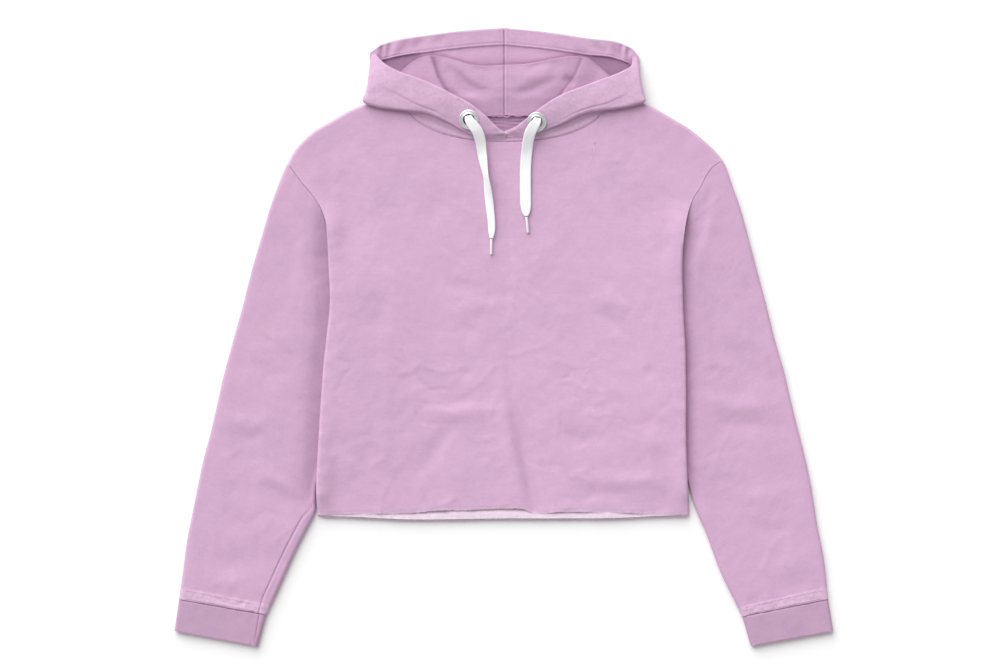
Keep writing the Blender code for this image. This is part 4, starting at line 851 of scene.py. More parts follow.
class Sleeve(Tube):
    """q runs from the outer to the inner fold, and t from the armhole to the cuff."""

    def __init__(self, side):
        self.side = side
        self.length = sleeve_inner[side].length

    def outer_share(self, t):
        start = shoulder_share[self.side]
        return start + (1.0 - start) * t

    def armhole(self, q):
        line, share = side_line[self.side], q * underarm_share[self.side]
        return line.at(share) + line.normal(share, OUTWARD[self.side]) * SEAM

    def outer_fold(self, t):
        share, line = self.outer_share(t), outline[self.side]
        return line.at(share) + line.normal(share, -OUTWARD[self.side]) * FOLD_RADIUS

    def inner_fold(self, t):
        line = sleeve_inner[self.side]
        fold = line.at(t)
        radius = sleeve_top(self.side, fold[..., 0], fold[..., 1]) / 2.0
        return fold + line.normal(t, OUTWARD[self.side]) * radius[..., None]

    def across(self, q, t):
        outer, inner = self.outer_fold(t), self.inner_fold(t)
        share = q[..., None]
        start = np.zeros(1)
        first = self.outer_fold(start)[0] * (1 - share) + self.inner_fold(start)[0] * share
        seam_shape = self.armhole(q) - first
        return outer + (inner - outer) * share \
            + seam_shape * (1 - smooth(0.0, ARMHOLE_REACH, t))[..., None]

    def outward(self, q, t):
        outer = outline[self.side].normal(self.outer_share(t), OUTWARD[self.side])
        inner = sleeve_inner[self.side].normal(t, -OUTWARD[self.side])
        return np.where((q < 0.5)[..., None], outer, inner)

    def depth(self, q, t):
        here = self.across(q, t)
        return sleeve_top(self.side, here[..., 0], here[..., 1])

    def detail(self, q, t, plan):
        x, y = plan[..., 0], plan[..., 1]
        wide = SLEEVE_WIDTH - SLEEVE_TAPER * t
        to_cuff = (1.0 - t) * self.length
        relief = soft_grain(x, y, 41.0 + OUTWARD[self.side])
        relief += 0.8 * CRUMPLE * (crumple(x, y, 73.0) - crumple(-x, y, 88.0)) \
            * smooth(0.02, 0.2, q)
        outside = -inside_edge(self.side, x, y)
        relief -= SLEEVE_TROUGH * tuck(self.side, y) * (1.0 - smooth(2.0, 30.0, outside))
        if self.side == "left":
            off_seam = self.off_seam(q, t)
            relief += groove(off_seam, 0.9, 0.9) + 0.4 * fade(off_seam + 3.0, 2.4)
        raised = smooth(CUFF_STITCH_BAND + 1.0, CUFF_STITCH_BAND - 1.0, to_cuff)
        relief += raised * (0.35 + 0.35 * uneven(q * wide, to_cuff, 5.0, 61.0))
        relief += pucker(to_cuff - CUFF_STITCH_BAND, q * wide, 67.0, pitch=13.0, height=0.45)
        relief -= 0.5 * smooth(1.6, 0.0, to_cuff)
        relief += pucker(t * self.length, q * wide, 71.0, height=0.3)
        return relief * off_folds(q, 0.02)

    def off_seam(self, q, t):
        """Distance in from the underarm seam, which runs just inside the inner fold."""
        inset = np.interp(t, UNDERARM_SEAM["places"], UNDERARM_SEAM["inset"])
        hidden = 20.0 * (t < UNDERARM_SEAM["places"][0])
        return (1.0 - q) * (SLEEVE_WIDTH - SLEEVE_TAPER * t) - inset + hidden

    def under_detail(self, q, t, plan):
        x, y = plan[..., 0], plan[..., 1]
        folds = fold_height(UNDER_SLEEVE_FOLDS[self.side], x, y)
        return off_folds(q, 0.06) * (folds + 0.2 + soft_grain(x, y, 83.0))

    def map(self, s, t):
        return np.stack((s * 150.0, t * self.length), -1)

    def wear_and_painted_shading(self, q, t):
        here = self.across(q, t)
        outside = -inside_edge(self.side, here[..., 0], here[..., 1])
        # Painted shade on the sleeve's top beside the body's side, where the body lies over it
        painted_shade_beside_body = np.exp(-np.maximum(outside, 0.0) / 13.0) * tuck(self.side, here[..., 1])
        to_cuff = (1.0 - t) * self.length
        # Paler over the coverstitched band above the cuff, and darker at the join with the cuff
        wear_and_painted_shading = 0.55 * smooth(CUFF_STITCH_BAND + 1.5, CUFF_STITCH_BAND - 1.0, to_cuff)
        wear_and_painted_shading = wear_and_painted_shading - 0.5 * smooth(1.4, 0.4, to_cuff) - 0.8 * painted_shade_beside_body * smooth(0.4, 0.6, q)
        if self.side == "left":
            wear_and_painted_shading = wear_and_painted_shading - 0.9 * fade(self.off_seam(q, t), 0.9)
        return wear_and_painted_shading


class Cuff(Tube):
    """As the sleeve, from its end to the wrist."""

    def __init__(self, side):
        self.side = side
        self.sleeve = Sleeve(side)
        outer_end, inner_end = (np.array(corner) for corner in CUFF_END[side])
        end = np.ones(1)
        self.start = (self.sleeve.outer_fold(end)[0], self.sleeve.inner_fold(end)[0])
        self.unit = (inner_end - outer_end) / np.linalg.norm(inner_end - outer_end)
        self.stop = (outer_end + self.unit * CUFF_RADIUS, inner_end - self.unit * CUFF_RADIUS)
        self.length = np.linalg.norm(outer_end - self.start[0])
        self.gap = CUFF_GAP / self.length

    def across(self, q, t):
        t = (self.gap + (1.0 - self.gap) * t)[..., None]
        outer = self.start[0] * (1 - t) + self.stop[0] * t
        inner = self.start[1] * (1 - t) + self.stop[1] * t
        return outer + (inner - outer) * q[..., None]

    def outward(self, q, t):
        at_wrist = np.where((q < 0.5)[..., None], -self.unit, self.unit)
        share = t[..., None]
        return self.sleeve.outward(q, np.ones(q.shape)) * (1 - share) + at_wrist * share

    def depth(self, q, t):
        return np.full(q.shape, 2.0 * CUFF_RADIUS)

    def detail(self, q, t, plan):
        down = t * self.length
        relief = 0.6 * soft_grain(plan[..., 0], plan[..., 1], 91.0 + OUTWARD[self.side])
        if self.side == "left":
            off_seam = self.off_seam(q, t)
            relief += groove(off_seam, 0.9, 0.8)
            relief += groove(off_seam - SEAM_STITCH, 0.4, 0.7) * smooth(0.68, 0.9, t)
        relief -= 0.7 * smooth(1.8, 0.0, down) + 0.5 * smooth(self.length - 1.6, self.length, down)
        relief += pucker(down, q * CUFF_WIDTH, 97.0, pitch=12.0, height=0.35)
        return relief * off_folds(q, 0.03)

    def off_seam(self, q, t):
        return (1.0 - q) * CUFF_WIDTH - CUFF_SEAM[0] - (CUFF_SEAM[1] - CUFF_SEAM[0]) * t

    def under_detail(self, q, t, plan):
        return 0.25 * off_folds(q, 0.06)

    def map(self, s, t):
        return np.stack((s * CUFF_WIDTH, t * self.length), -1)

    def wear_and_painted_shading(self, q, t):
        wear_and_painted_shading = 0.3 * smooth(0.9, 1.0, t) - 0.5 * smooth(0.05, 0.0, t)
        if self.side == "left":
            wear_and_painted_shading = wear_and_painted_shading - 0.8 * fade(self.off_seam(q, t), 0.8)
        return wear_and_painted_shading


def plan_of(row, name):
    """Plan point from a band's values under the given name."""
    return np.stack([row[f"{name}_{axis}"] for axis in "xy"], -1)


class Band:
    """Front of one hood panel; s from the opening edge over the lip, t along the table's rows."""

    def __init__(self, side):
        self.side = side
        self.table = bands[side]
        self.rows = len(BANDS[side]) - 1

    def lip_inward(self, t):
        """Unit vector from the lip into the band, and the table's values there."""
        before, after = (self.table.at(np.clip(t + way * LIP_SPAN, 0, self.rows)) for way in (-1, 1))
        across = square_to(plan_of(after, "lip") - plan_of(before, "lip"))
        row = self.table.at(t)
        inward = plan_of(row, "edge") - plan_of(row, "lip")
        is_inward = np.sum(across * inward, -1, keepdims=True) > 0
        return np.where(is_inward, across, -across), row

    def width(self, t):
        inward, row = self.lip_inward(t)
        flat = plan_of(row, "lip") + inward * row["radius"][..., None]
        return np.linalg.norm(flat - plan_of(row, "edge"), axis=-1)

    def point(self, s, t):
        inward, row = self.lip_inward(t)
        edge, lip, end = (plan_of(row, name) for name in ("edge", "lip", "end"))
        radius = row["radius"]
        flat = lip + inward * radius[..., None]
        across = np.clip(s, 0.0, 1.0)
        bulge = HOOD_BULGE * np.sin(pi * across)
        bulge = bulge * smooth(0.0, 40.0, np.linalg.norm(flat - edge, axis=-1))
        turn = np.radians(row["turn"] * np.clip(s - 1.0, 0.0, 1.0))
        plan = edge + (flat - edge) * across[..., None]
        plan = plan - inward * (radius * np.sin(turn))[..., None]
        height = row["edge_z"] + (row["lip_z"] - row["edge_z"]) * across + bulge
        height = height - radius * (1.0 - np.cos(turn))
        last = np.clip(s - 2.0, 0.0, 1.0)
        seam_y = neckline(end[..., 0], FRONT_NECK_DROP) - SEAM_UNDER
        at_seam = smooth(*SEWN_ROWS, t)
        end_z = row["end_z"] + (STAND_HEIGHT - row["end_z"]) * at_seam
        end[..., 1] += (seam_y - end[..., 1]) * at_seam
        plan = plan + (end - plan) * last[..., None]
        height = height + (end_z - height) * smooth(0.0, 1.0 - 0.6 * at_seam, last)
        off_seam = plan[..., 1] - neckline(plan[..., 0], FRONT_NECK_DROP)
        into_seam = smooth(2.2, 0.2, off_seam) * smooth(0.3, 0.8, last) * at_seam
        return stack(plan, height - (STAND_HEIGHT - SEAM_HEIGHT) * into_seam)

    def facing(self, s, t, step=1e-3):
        """Unit vector out of the band's upper face."""
        out = np.cross(self.point(s + step, t) - self.point(s - step, t),
                       self.point(s, t + step) - self.point(s, t - step))
        return unit(out) * -OUTWARD[self.side]

    def surface(self, s, t):
        points, outward = self.point(s, t), self.facing(s, t)
        from_edge = np.clip(s, 0.0, 1.0) * self.width(t)
        x, y = points[..., 0], points[..., 1]
        upper = smooth(1.25, 1.0, s)
        sewn = upper * fold_height([(1.0, 1.1, 1.1, CHANNEL[self.side])], x, y)
        relief = soft_grain(x, y, 101.0 + OUTWARD[self.side]) * 1.2
        relief += upper * fold_height(BAND_FOLDS[self.side], x, y) - 0.6 * sewn
        relief -= upper * 0.9 * smooth(2.4, 0.0, from_edge)
        relief += pucker(from_edge, t * 17.0, 113.0, pitch=15.0, height=0.4) * upper
        relief = relief * smooth(2.4, 2.0, s) * smooth(0.0, 1.2, t)
        points = points + outward * relief[..., None]
        # Painted light and shade on the band: its upper face is painted paler, a strip under its lip
        # darker as shade, and its channel's stitch line darker
        painted_shade_under_lip = smooth(1.2, 1.6, s) - smooth(1.7, 2.1, s)
        wear_and_painted_shading = 0.36 * smooth(0.0, 2.0, t) * smooth(2.3, 1.9, s) - 0.5 * painted_shade_under_lip - 0.6 * sewn
        # The stand between the lip and the neck seam is painted paler against the lip's shadow, and
        # the top corner rows darker as shade
        painted_light_on_stand = smooth(6.5, 7.5, t) * smooth(2.1, 2.4, s)
        wear_and_painted_shading = wear_and_painted_shading + (0.4 + 0.6 * smooth(11.5, 13.0, t)) * painted_light_on_stand - 0.4 * smooth(1.0, 0.3, t)
        # A darker line along the neck seam
        off_seam = y - neckline(x, FRONT_NECK_DROP)
        wear_and_painted_shading = wear_and_painted_shading - 0.4 * smooth(7.0, 8.0, t) * smooth(2.0, 2.5, s) * smooth(1.6, 0.4, off_seam)
        return points, outward, np.stack((t * 17.0, s * 50.0), -1), wear_and_painted_shading

    def wall(self, s, t):
        return WALL + (HEM_WALL - WALL) * (1.0 - smooth(0.45, 0.75, s)) * smooth(0.5, 3.0, t)


def panel_half(side, s, t, top, low):
    """Plan points from a top to a low line, half the seam's gap away from the other side's."""
    here = top + (low - top) * t[..., None]
    here[..., 0] += OUTWARD[side] * SEAM / 2.0 * (1.0 - s)
    return here


class HoodBack:
    """One side of the hood's back on the surface; s from the middle out, t from the brim down."""

    def __init__(self, side):
        self.side = side
        self.brim = Curve(BRIM[side])
        self.fold = Curve(INNER_FOLD[side])
        self.foot = np.array(HOOD_BACK_FOOT[side])

    def low_edge(self, s):
        x = CENTRE_SEAM + (self.foot[0] - CENTRE_SEAM) * s
        low = neckline(x, BACK_NECK_DROP)
        over = smooth(NECK_HALF_WIDTH - 24.0, NECK_HALF_WIDTH - 6.0, np.abs(x - NECK_CENTRE))
        return np.stack((x, low + (self.foot[1] - low) * over + HOOD_FOOT_GAP), -1)

    def plan(self, s, t):
        top, low = self.brim.at(s), self.low_edge(s)
        here = panel_half(self.side, s, t, top, low)
        corner = CORNER_BULGE[self.side]
        down = (self.brim.at(1.0)[1] - here[..., 1]) / corner["reach"]
        round_side = corner["height"] * fade(down - 1.0, 1.0) * smooth(0.7, 1.0, s)
        here[..., 0] += OUTWARD[self.side] * round_side * smooth(0.0, 0.03, t)
        return here

    def surface(self, s, t):
        """Top and bottom of the layer, its map and its painted shade."""
        plan = self.plan(s, t)
        x, y = plan[..., 0], plan[..., 1]
        down = t * np.linalg.norm(self.brim.at(s) - self.low_edge(s), axis=-1)
        half = BRIM_DEPTH / 2.0
        lean = np.clip(1.0 - down / half, 0.0, 1.0)
        round_edge = half * np.sqrt(1.0 - lean ** 2)
        is_brim = smooth(BRIM_WIDTH + 0.8, BRIM_WIDTH - 0.4, down)
        inner = BRIM_DEPTH - BRIM_STEP
        top = np.where(down < half, half + round_edge, inner + BRIM_STEP * is_brim)
        from_seam = np.abs(x - CENTRE_SEAM)
        folds = fold_height(BRIM_FOLDS[self.side], x, y)
        relief = soft_grain(x, y, 131.0 + OUTWARD[self.side]) + folds
        relief += groove(down - BRIM_WIDTH + BRIM_STITCH, 0.5, 0.7)
        relief += pucker(down - BRIM_WIDTH, x, 137.0, pitch=9.0, reach=7.0, height=0.35)
        relief -= 1.1 * smooth(2.2, 0.0, from_seam)
        relief += groove(from_seam - SEAM_STITCH, 0.3, 0.7)
        top = top + relief * smooth(0.0, 3.0, down)
        bottom = np.where(down < half, half - round_edge, 0.0)
        inside_hem = smooth(BRIM_WIDTH - 1.0, BRIM_WIDTH + 0.5, down)
        corner = smooth(88.0, 112.0, from_seam) * inside_hem
        top = top + CROWN_RISE * smooth(BRIM_WIDTH + 2.0, BRIM_WIDTH + 17.0, down) * (1.0 - corner)
        top = top - BRIM_STEP * corner
        over_fold = y - self.fold.at_x(x)[..., 1]
        # Painted shade, as a darker tint: inside the brim's hem and most in the corner pockets, along
        # the hem line and the brim's outer rim, above the inner folds' edge, beside the bands' opening
        # edge and in the puckers
        painted_shade = 0.25 * inside_hem + 1.1 * corner + 0.1 * fade(down - BRIM_WIDTH, 1.0)
        painted_shade = painted_shade + 0.7 * fade(over_fold, 3.0) + 0.2 * fade(down, 2.0)
        over_band = y - bands_edge[self.side].at_x(x)[..., 1]
        painted_shade = painted_shade + 0.9 * fade(np.maximum(over_band, 0.0), 8.0) \
            * smooth(96.0, 112.0, from_seam) * smooth(4.0, 12.0, down)
        painted_shade = painted_shade + 0.25 * np.maximum(-folds, 0.0)
        return plan, top, bottom, -np.minimum(painted_shade, 1.0)


class InnerFold:
    """Folded layers of the hood's back inside the opening; s from the middle out, t downwards."""

    def __init__(self, side):
        self.side = side
        self.edge = Curve(INNER_FOLD[side])
        self.ridge = Curve(INNER_RIDGE[side])

    def plan(self, s, t):
        top = self.edge.at(s)
        start, stop = INNER_FOOT[self.side]
        x = start + (stop - start) * s
        low_y = neckline(x, BACK_NECK_DROP) + 2.0 * SEAM + 10.0 * smooth(0.8, 1.0, s)
        return panel_half(self.side, s, t, top, np.stack((x, low_y), -1))

    def surface(self, s, t):
        plan = self.plan(s, t)
        x, y = plan[..., 0], plan[..., 1]
        base = WALL + FOLD_SOLID_GAP
        heights = np.array(INNER_HEIGHT)
        height = np.interp(y, heights[:, 0], heights[:, 1])
        outside = OUTWARD[self.side] * (x - self.ridge.x_at(y))
        height = height - FACET_DROP * smooth(0.0, FACET_REACH, outside)
        height = height - INNER_STEP * (1.0 - smooth(-1.8, 0.6, outside)) \
            * fade(np.minimum(outside, 0.0), 22.0) * smooth(256.0, 268.0, y)
        from_seam = np.abs(x - CENTRE_SEAM)
        down = t * np.linalg.norm(self.plan(s, 0.0 * t) - self.plan(s, 0.0 * t + 1.0), axis=-1)
        relief = fold_height(INNER_FOLDS[self.side], x, y) * smooth(0.0, 6.0, down)
        relief += soft_grain(x, y, 151.0 + OUTWARD[self.side])
        relief += pucker(from_seam, y, 157.0, pitch=8.0, reach=8.0, height=0.3)
        relief += groove(from_seam - SEAM_STITCH, 0.35, 0.7) - 1.1 * smooth(2.2, 0.0, from_seam)
        height = height + relief
        for distance in (np.minimum(down, INNER_ROLL),
                         np.minimum((1.0 - s) * self.edge.length, INNER_ROLL)):
            lean = 1.0 - distance / INNER_ROLL
            height = height - (height - base - 1.0) * (1.0 - np.sqrt(1.0 - lean ** 2))
        bottom = np.full(height.shape, base)
        # Painted shade, as a darker tint: along the folds' rounded top edge, beside the ridge on the
        # middle's side, over the facet outside it and in the creases
        beside = fade(outside + 1.5, 3.2) + 0.5 * (1.0 - smooth(-4.0, 0.0, outside)) \
            * fade(np.minimum(outside, 0.0), 12.0)
        painted_shade = 0.9 * fade(down, 2.4) + 0.75 * beside * smooth(262.0, 280.0, y)
        painted_shade = painted_shade + 0.08 * smooth(0.0, -6.0, outside) + 0.22 * smooth(0.0, 6.0, outside)
        folds = fold_height(INNER_FOLDS[self.side], x, y)
        painted_shade = painted_shade + 0.08 * np.maximum(-folds, 0.0)
        return plan, np.maximum(height, base + 0.6), bottom, -np.minimum(painted_shade, 1.0)


# ---------------- making pieces

SHARP_ANGLE = 60.0  # edges turned by more than this stay sharp


def finish_piece(mesh, nodes):
    """Makes a piece, and says which body it rides on and what it replaces."""
    made = bpy.data.objects.new(mesh.name, mesh)
    bpy.context.scene.collection.objects.link(made)
    mesh.shade_smooth()
    mesh.set_sharp_from_angle(angle=radians(SHARP_ANGLE))
    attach(made, BODY)
    if nodes:
        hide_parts(*nodes)
    return made


def face_out(mesh):
    """Turns the faces of a closed mesh outwards."""
    work = bmesh.new()
    work.from_mesh(mesh)
    bmesh.ops.recalc_face_normals(work, faces=work.faces)
    work.to_mesh(mesh)
    work.free()


def write_map(mesh, cloth_map):
    """Gives each corner of a mesh its vertex's place on the cloth."""
    corners = np.empty(len(mesh.loops), np.int32)
    mesh.loops.foreach_get("vertex_index", corners)
    mesh.uv_layers.new(name=CLOTH_MAP).data.foreach_set("uv", cloth_map[corners].ravel())


def grid_faces(rows, columns, first, ring):
    """Corners of the faces between rows and columns of vertices."""
    spans = columns if ring else columns - 1
    row, column = np.meshgrid(np.arange(rows - 1), np.arange(spans), indexing="ij")
    after = (column + 1) % columns
    corners = (row * columns + column, row * columns + after,
               (row + 1) * columns + after, (row + 1) * columns + column)
    return np.stack([first + corner.ravel() for corner in corners], -1)


def wall_mesh(name, outer, inner, cloth_map, wear_and_painted_shading, ring, materials):
    """One closed wall between two grids of points, with its cloth map and its values of wear and
    painted light and shade.
    """
    rows, columns = outer.shape[:2]
    count = rows * columns
    face, back = grid_faces(rows, columns, 0, ring), grid_faces(rows, columns, count, ring)
    rims = []
    spans = columns if ring else columns - 1
    for row in (0, rows - 1):
        here = row * columns + np.arange(spans)
        after = row * columns + (np.arange(spans) + 1) % columns
        rims.append(np.stack((here, here + count, after + count, after), -1))
    if not ring:
        for column in (0, columns - 1):
            here = np.arange(rows - 1) * columns + column
            after = here + columns
            rims.append(np.stack((here, after, after + count, here + count), -1))
    faces = np.concatenate([face, back] + rims)
    mesh = bpy.data.meshes.new(name)
    points = np.concatenate((outer.reshape(-1, 3), inner.reshape(-1, 3))) * MM
    mesh.from_pydata(points.tolist(), [], faces.tolist())
    for material in materials:
        mesh.materials.append(material)
    if len(materials) > 1:
        inside = np.zeros(len(faces), np.int32)
        inside[len(face):len(face) + len(back)] = 1
        mesh.polygons.foreach_set("material_index", inside)
    flat_map = cloth_map.reshape(-1, 2)
    write_map(mesh, np.concatenate((flat_map, flat_map)))
    wear_and_painted_shading_values = np.broadcast_to(wear_and_painted_shading, outer.shape[:2]).ravel()
    mesh.attributes.new(WEAR_AND_PAINTED_SHADING, "FLOAT", "POINT").data.foreach_set(
        "value", np.concatenate((wear_and_painted_shading_values, wear_and_painted_shading_values)).astype(np.float32))
    face_out(mesh)
    return mesh


def ring_piece(name, rings, material, nodes, cloth_map=None, joined=False):
    """A piece from rings of points, with flat ends or with the last ring joined to the first."""
    count, last = rings.shape[1], (rings.shape[0] - 1) * rings.shape[1]
    faces = grid_faces(*rings.shape[:2], 0, ring=True).tolist()
    if joined:
        faces += [[number, (number + 1) % count, last + (number + 1) % count, last + number]
                  for number in range(count)]
    else:
        faces += [list(range(count)), list(range(last, last + count))]
    mesh = bpy.data.meshes.new(name)
    mesh.from_pydata((rings.reshape(-1, 3) * MM).tolist(), [], faces)
    mesh.materials.append(material)
    if cloth_map is not None:
        write_map(mesh, cloth_map.reshape(-1, 2))
    face_out(mesh)
    return finish_piece(mesh, nodes)


def spread(*stretches):
    """Values of a parameter, without repeats: each stretch is (start, stop, number of steps)."""
    values = []
    for start, stop, steps in stretches:
        values += [value for value in np.linspace(start, stop, steps + 1)
                   if not values or abs(value - values[-1]) > 1e-9]
    return np.array(values)


def shell(name, shape, s_values, t_values, materials, nodes, wall=WALL, ring=False):
    """A thin wall of cloth on the form of its solid."""
    t, s = np.meshgrid(t_values, s_values, indexing="ij")
    points, outward, cloth_map, wear_and_painted_shading = shape.surface(s, t)
    depth = wall(s, t) if callable(wall) else np.full(s.shape, wall)
    inner = points - outward * depth[..., None]
    return finish_piece(wall_mesh(name, points, inner, cloth_map, wear_and_painted_shading, ring, materials), nodes)


def layer(name, shape, s_values, t_values, materials, nodes):
    """A layer with its own top and bottom heights."""
    t, s = np.meshgrid(t_values, s_values, indexing="ij")
    plan, top, bottom, wear_and_painted_shading = shape.surface(s, t)
    mesh = wall_mesh(name, stack(plan, top), stack(plan, bottom), plan, wear_and_painted_shading, False, materials)
    return finish_piece(mesh, nodes)


def spindles(name, starts, stops, radius, material, sides=5):
    """Many short rounded threads in one piece, each from a start to a stop."""
    points, faces = [], []
    angles = np.linspace(0.0, 2 * pi, sides, endpoint=False)
    for start, stop in zip(np.asarray(starts, float), np.asarray(stops, float)):
        along = (stop - start) / max(np.linalg.norm(stop - start), 1e-6)
        across = unit(np.cross(along, (0.3, 0.2, 1.0)))
        up = np.cross(along, across)
        first = len(points)
        points.append(start)
        for share in (0.25, 0.75):
            middle = start + (stop - start) * share
            points += [middle + radius * (across * cos(a) + up * sin(a)) for a in angles]
        points.append(stop)
        for number in range(sides):
            after = (number + 1) % sides
            faces.append((first, first + 1 + after, first + 1 + number))
            faces.append((first + 1 + number, first + 1 + after,
                          first + 1 + sides + after, first + 1 + sides + number))
            faces.append((first + 1 + 2 * sides, first + 1 + sides + number,
                          first + 1 + sides + after))
    mesh = bpy.data.meshes.new(name)
    mesh.from_pydata((np.array(points) * MM).tolist(), [], faces)
    mesh.materials.append(material)
    return finish_piece(mesh, ())


def stitch_row(points, outward, lift=0.05):
    """Starts and stops of stitches along a dense line of surface points."""
    points = points + outward * lift
    steps = np.linalg.norm(np.diff(points, axis=0), axis=1)
    along = np.concatenate(([0.0], np.cumsum(steps)))
    count = int(along[-1] / STITCH["pitch"])
    places = (np.arange(count) + 0.5) * STITCH["pitch"]
    ends = []
    for way in (-0.5, 0.5):
        at = places + way * STITCH["length"]
        ends.append(np.stack([np.interp(at, along, points[:, axis]) for axis in range(3)], -1))
    return ends


# ---------------- materials

class Finish:
    """A material under construction; values that are sockets become links."""

    def __init__(self, name):
        self.material = bpy.data.materials.new(name)
        self.material.use_nodes = True
        self.tree = self.material.node_tree
        self.shader = self.tree.nodes["Principled BSDF"]

    def put(self, socket, value):
        if isinstance(value, bpy.types.NodeSocket):
            self.tree.links.new(value, socket)
        else:
            socket.default_value = value

    def add(self, kind, inputs, output=0, **settings):
        node = self.tree.nodes.new(kind)
        for key, value in settings.items():
            setattr(node, key, value)
        for key, value in inputs.items():
            self.put(node.inputs[key], value)
        return node.outputs[output]

    def math(self, operation, first, second=0.0):
        return self.add("ShaderNodeMath", {0: first, 1: second}, operation=operation)

    def noise(self, coordinates, scale, detail=2.0, roughness=0.5):
        """Noise around zero."""
        value = self.add("ShaderNodeTexNoise", {"Vector": coordinates, "Scale": scale,
                                                "Detail": detail, "Roughness": roughness})
        return self.math("SUBTRACT", value, 0.5)

    def total(self, base, *weighted):
        """The base and values, each given with its weight, added up."""
        for value, weight in weighted:
            base = self.math("ADD", base, self.math("MULTIPLY", value, weight))
        return base

    def place(self):
        return self.add("ShaderNodeTexCoord", {}, output=3)

    def cloth_place(self):
        """Place on the cloth, and its two axes."""
        cloth_map = self.add("ShaderNodeUVMap", {}, uv_map=CLOTH_MAP)
        axes = self.tree.nodes.new("ShaderNodeSeparateXYZ")
        self.put(axes.inputs[0], cloth_map)
        return cloth_map, axes.outputs[0], axes.outputs[1]

    def dress(self, colour, rough, relief, strength, depth):
        """Joins colour, roughness and a bump of the given strength and depth in mm."""
        self.put(self.shader.inputs["Base Color"], colour)
        self.put(self.shader.inputs["Roughness"], rough)
        bump = self.add("ShaderNodeBump", {"Height": relief, "Strength": strength,
                                           "Distance": depth * MM})
        self.put(self.shader.inputs["Normal"], bump)
        return self.material

    def mix(self, share, first, second):
        """Mixes two colours, each (red, green, blue) or a socket."""
        node = self.tree.nodes.new("ShaderNodeMix")
        node.data_type = "RGBA"
        self.put(node.inputs[0], share)
        for key, colour in ((6, first), (7, second)):
            self.put(node.inputs[key], (*colour, 1.0) if isinstance(colour, tuple) else colour)
        return node.outputs[2]


def cloth_finish(name, tint, cool_tint, wear_and_painted_light_tint, seam_and_painted_shade_tint=(0.44, 0.26, 0.405), wale=1.15,
                 wale_depth=0.5, fluff=1.0, grain=0.075):
    """Knitted cloth: wales and courses, soft fluff and uneven dye, made paler by worn edges and
    painted light, and darker by seams and painted shade.
    """
    made = Finish(name)
    cloth_map, across, along = made.cloth_place()
    place = made.place()
    column = made.math("SINE", made.math("MULTIPLY", across, 2 * pi / wale))
    bent = made.total(made.math("MULTIPLY", along, 2 * pi / (wale * 0.8)),
                      (made.math("ABSOLUTE", column), 2.2))
    loops = made.total(made.math("ABSOLUTE", column), (made.math("SINE", bent), 0.45))
    knit = made.math("MULTIPLY", loops, wale_depth)
    fuzz = made.noise(place, 900.0, 4.0, 0.7)
    clumps, mottle, patches = (made.noise(place, scale, 3.0, 0.6) for scale in (260.0, 60.0, 34.0))
    broad = made.noise(place, 9.0)
    streak_map = made.add("ShaderNodeMapping", {"Vector": cloth_map, "Scale": (0.035, 0.55, 1.0)})
    streaks = made.noise(streak_map, 1.0, 3.0, 0.6)

    dye = made.total(0.5, (broad, 1.6), (streaks, 0.5), (patches, 1.3))
    # Values above zero mix towards the paler tint, for worn edges and painted light; values below zero
    # mix towards the darker tint, for seams and painted shade
    wear_and_painted_shading_values = made.add("ShaderNodeAttribute", {}, output=2, attribute_name=WEAR_AND_PAINTED_SHADING)
    colour = made.mix(made.math("MULTIPLY", wear_and_painted_shading_values, -1.0), made.mix(dye, cool_tint, tint), seam_and_painted_shade_tint)
    colour = made.mix(made.math("MULTIPLY", wear_and_painted_shading_values, made.total(0.6, (clumps, 1.6))), colour, wear_and_painted_light_tint)
    shade = made.total(1.0, (fuzz, grain * 2.6), (clumps, grain * 1.6), (mottle, grain * 1.3),
                       (knit, grain * 0.6), (streaks, grain * 1.2))
    shaded = made.tree.nodes.new("ShaderNodeVectorMath")
    shaded.operation = "SCALE"
    made.put(shaded.inputs[0], colour)
    made.put(shaded.inputs["Scale"], shade)
    made.put(made.shader.inputs["Specular IOR Level"], 0.15)
    made.put(made.shader.inputs["Sheen Weight"], 0.12)
    made.put(made.shader.inputs["Sheen Roughness"], 0.5)
    relief = made.total(knit, (fuzz, 1.5 * fluff), (clumps, 1.4 * fluff))
    return made.dress(shaded.outputs[0], made.total(0.9, (mottle, 0.12)), relief, 0.35, 0.5)


def braid_finish():
    """White flat braid: slanting strands, mirrored about the middle."""
    made = Finish("drawcord_braid")
    _, across, along = made.cloth_place()
    strands = made.math("SINE", made.total(made.math("MULTIPLY", along, 2 * pi / STRAND_PITCH),
                                           (made.math("ABSOLUTE", across), 2.6)))
    fuzz = made.noise(made.place(), 1400.0, 3.0, 0.6)
    colour = made.mix(made.total(0.5, (strands, 0.08), (fuzz, 0.5)),
                      (0.86, 0.86, 0.89), (0.99, 0.99, 1.0))
    return made.dress(colour, made.total(0.8, (fuzz, 0.2)), made.math("ADD", strands, fuzz), 0.18, 0.4)


def metal_finish():
    """Bright plated metal, with fine scratches and a slightly uneven polish."""
    made = Finish("eyelet_metal")
    place = made.place()
    clouds = made.noise(place, 500.0, 3.0)
    scratch_map = made.add("ShaderNodeMapping", {"Vector": place, "Rotation": (0.0, 0.0, 0.6),
                                                 "Scale": (300.0, 5200.0, 300.0)})
    scratches = made.noise(scratch_map, 1.0)
    colour = made.mix(made.math("ADD", clouds, 0.5), (0.88, 0.89, 0.90), (0.95, 0.96, 0.96))
    made.put(made.shader.inputs["Metallic"], 1.0)
    rough = made.total(0.42, (made.math("ADD", clouds, scratches), 0.06))
    return made.dress(colour, rough, scratches, 0.02, 0.1)


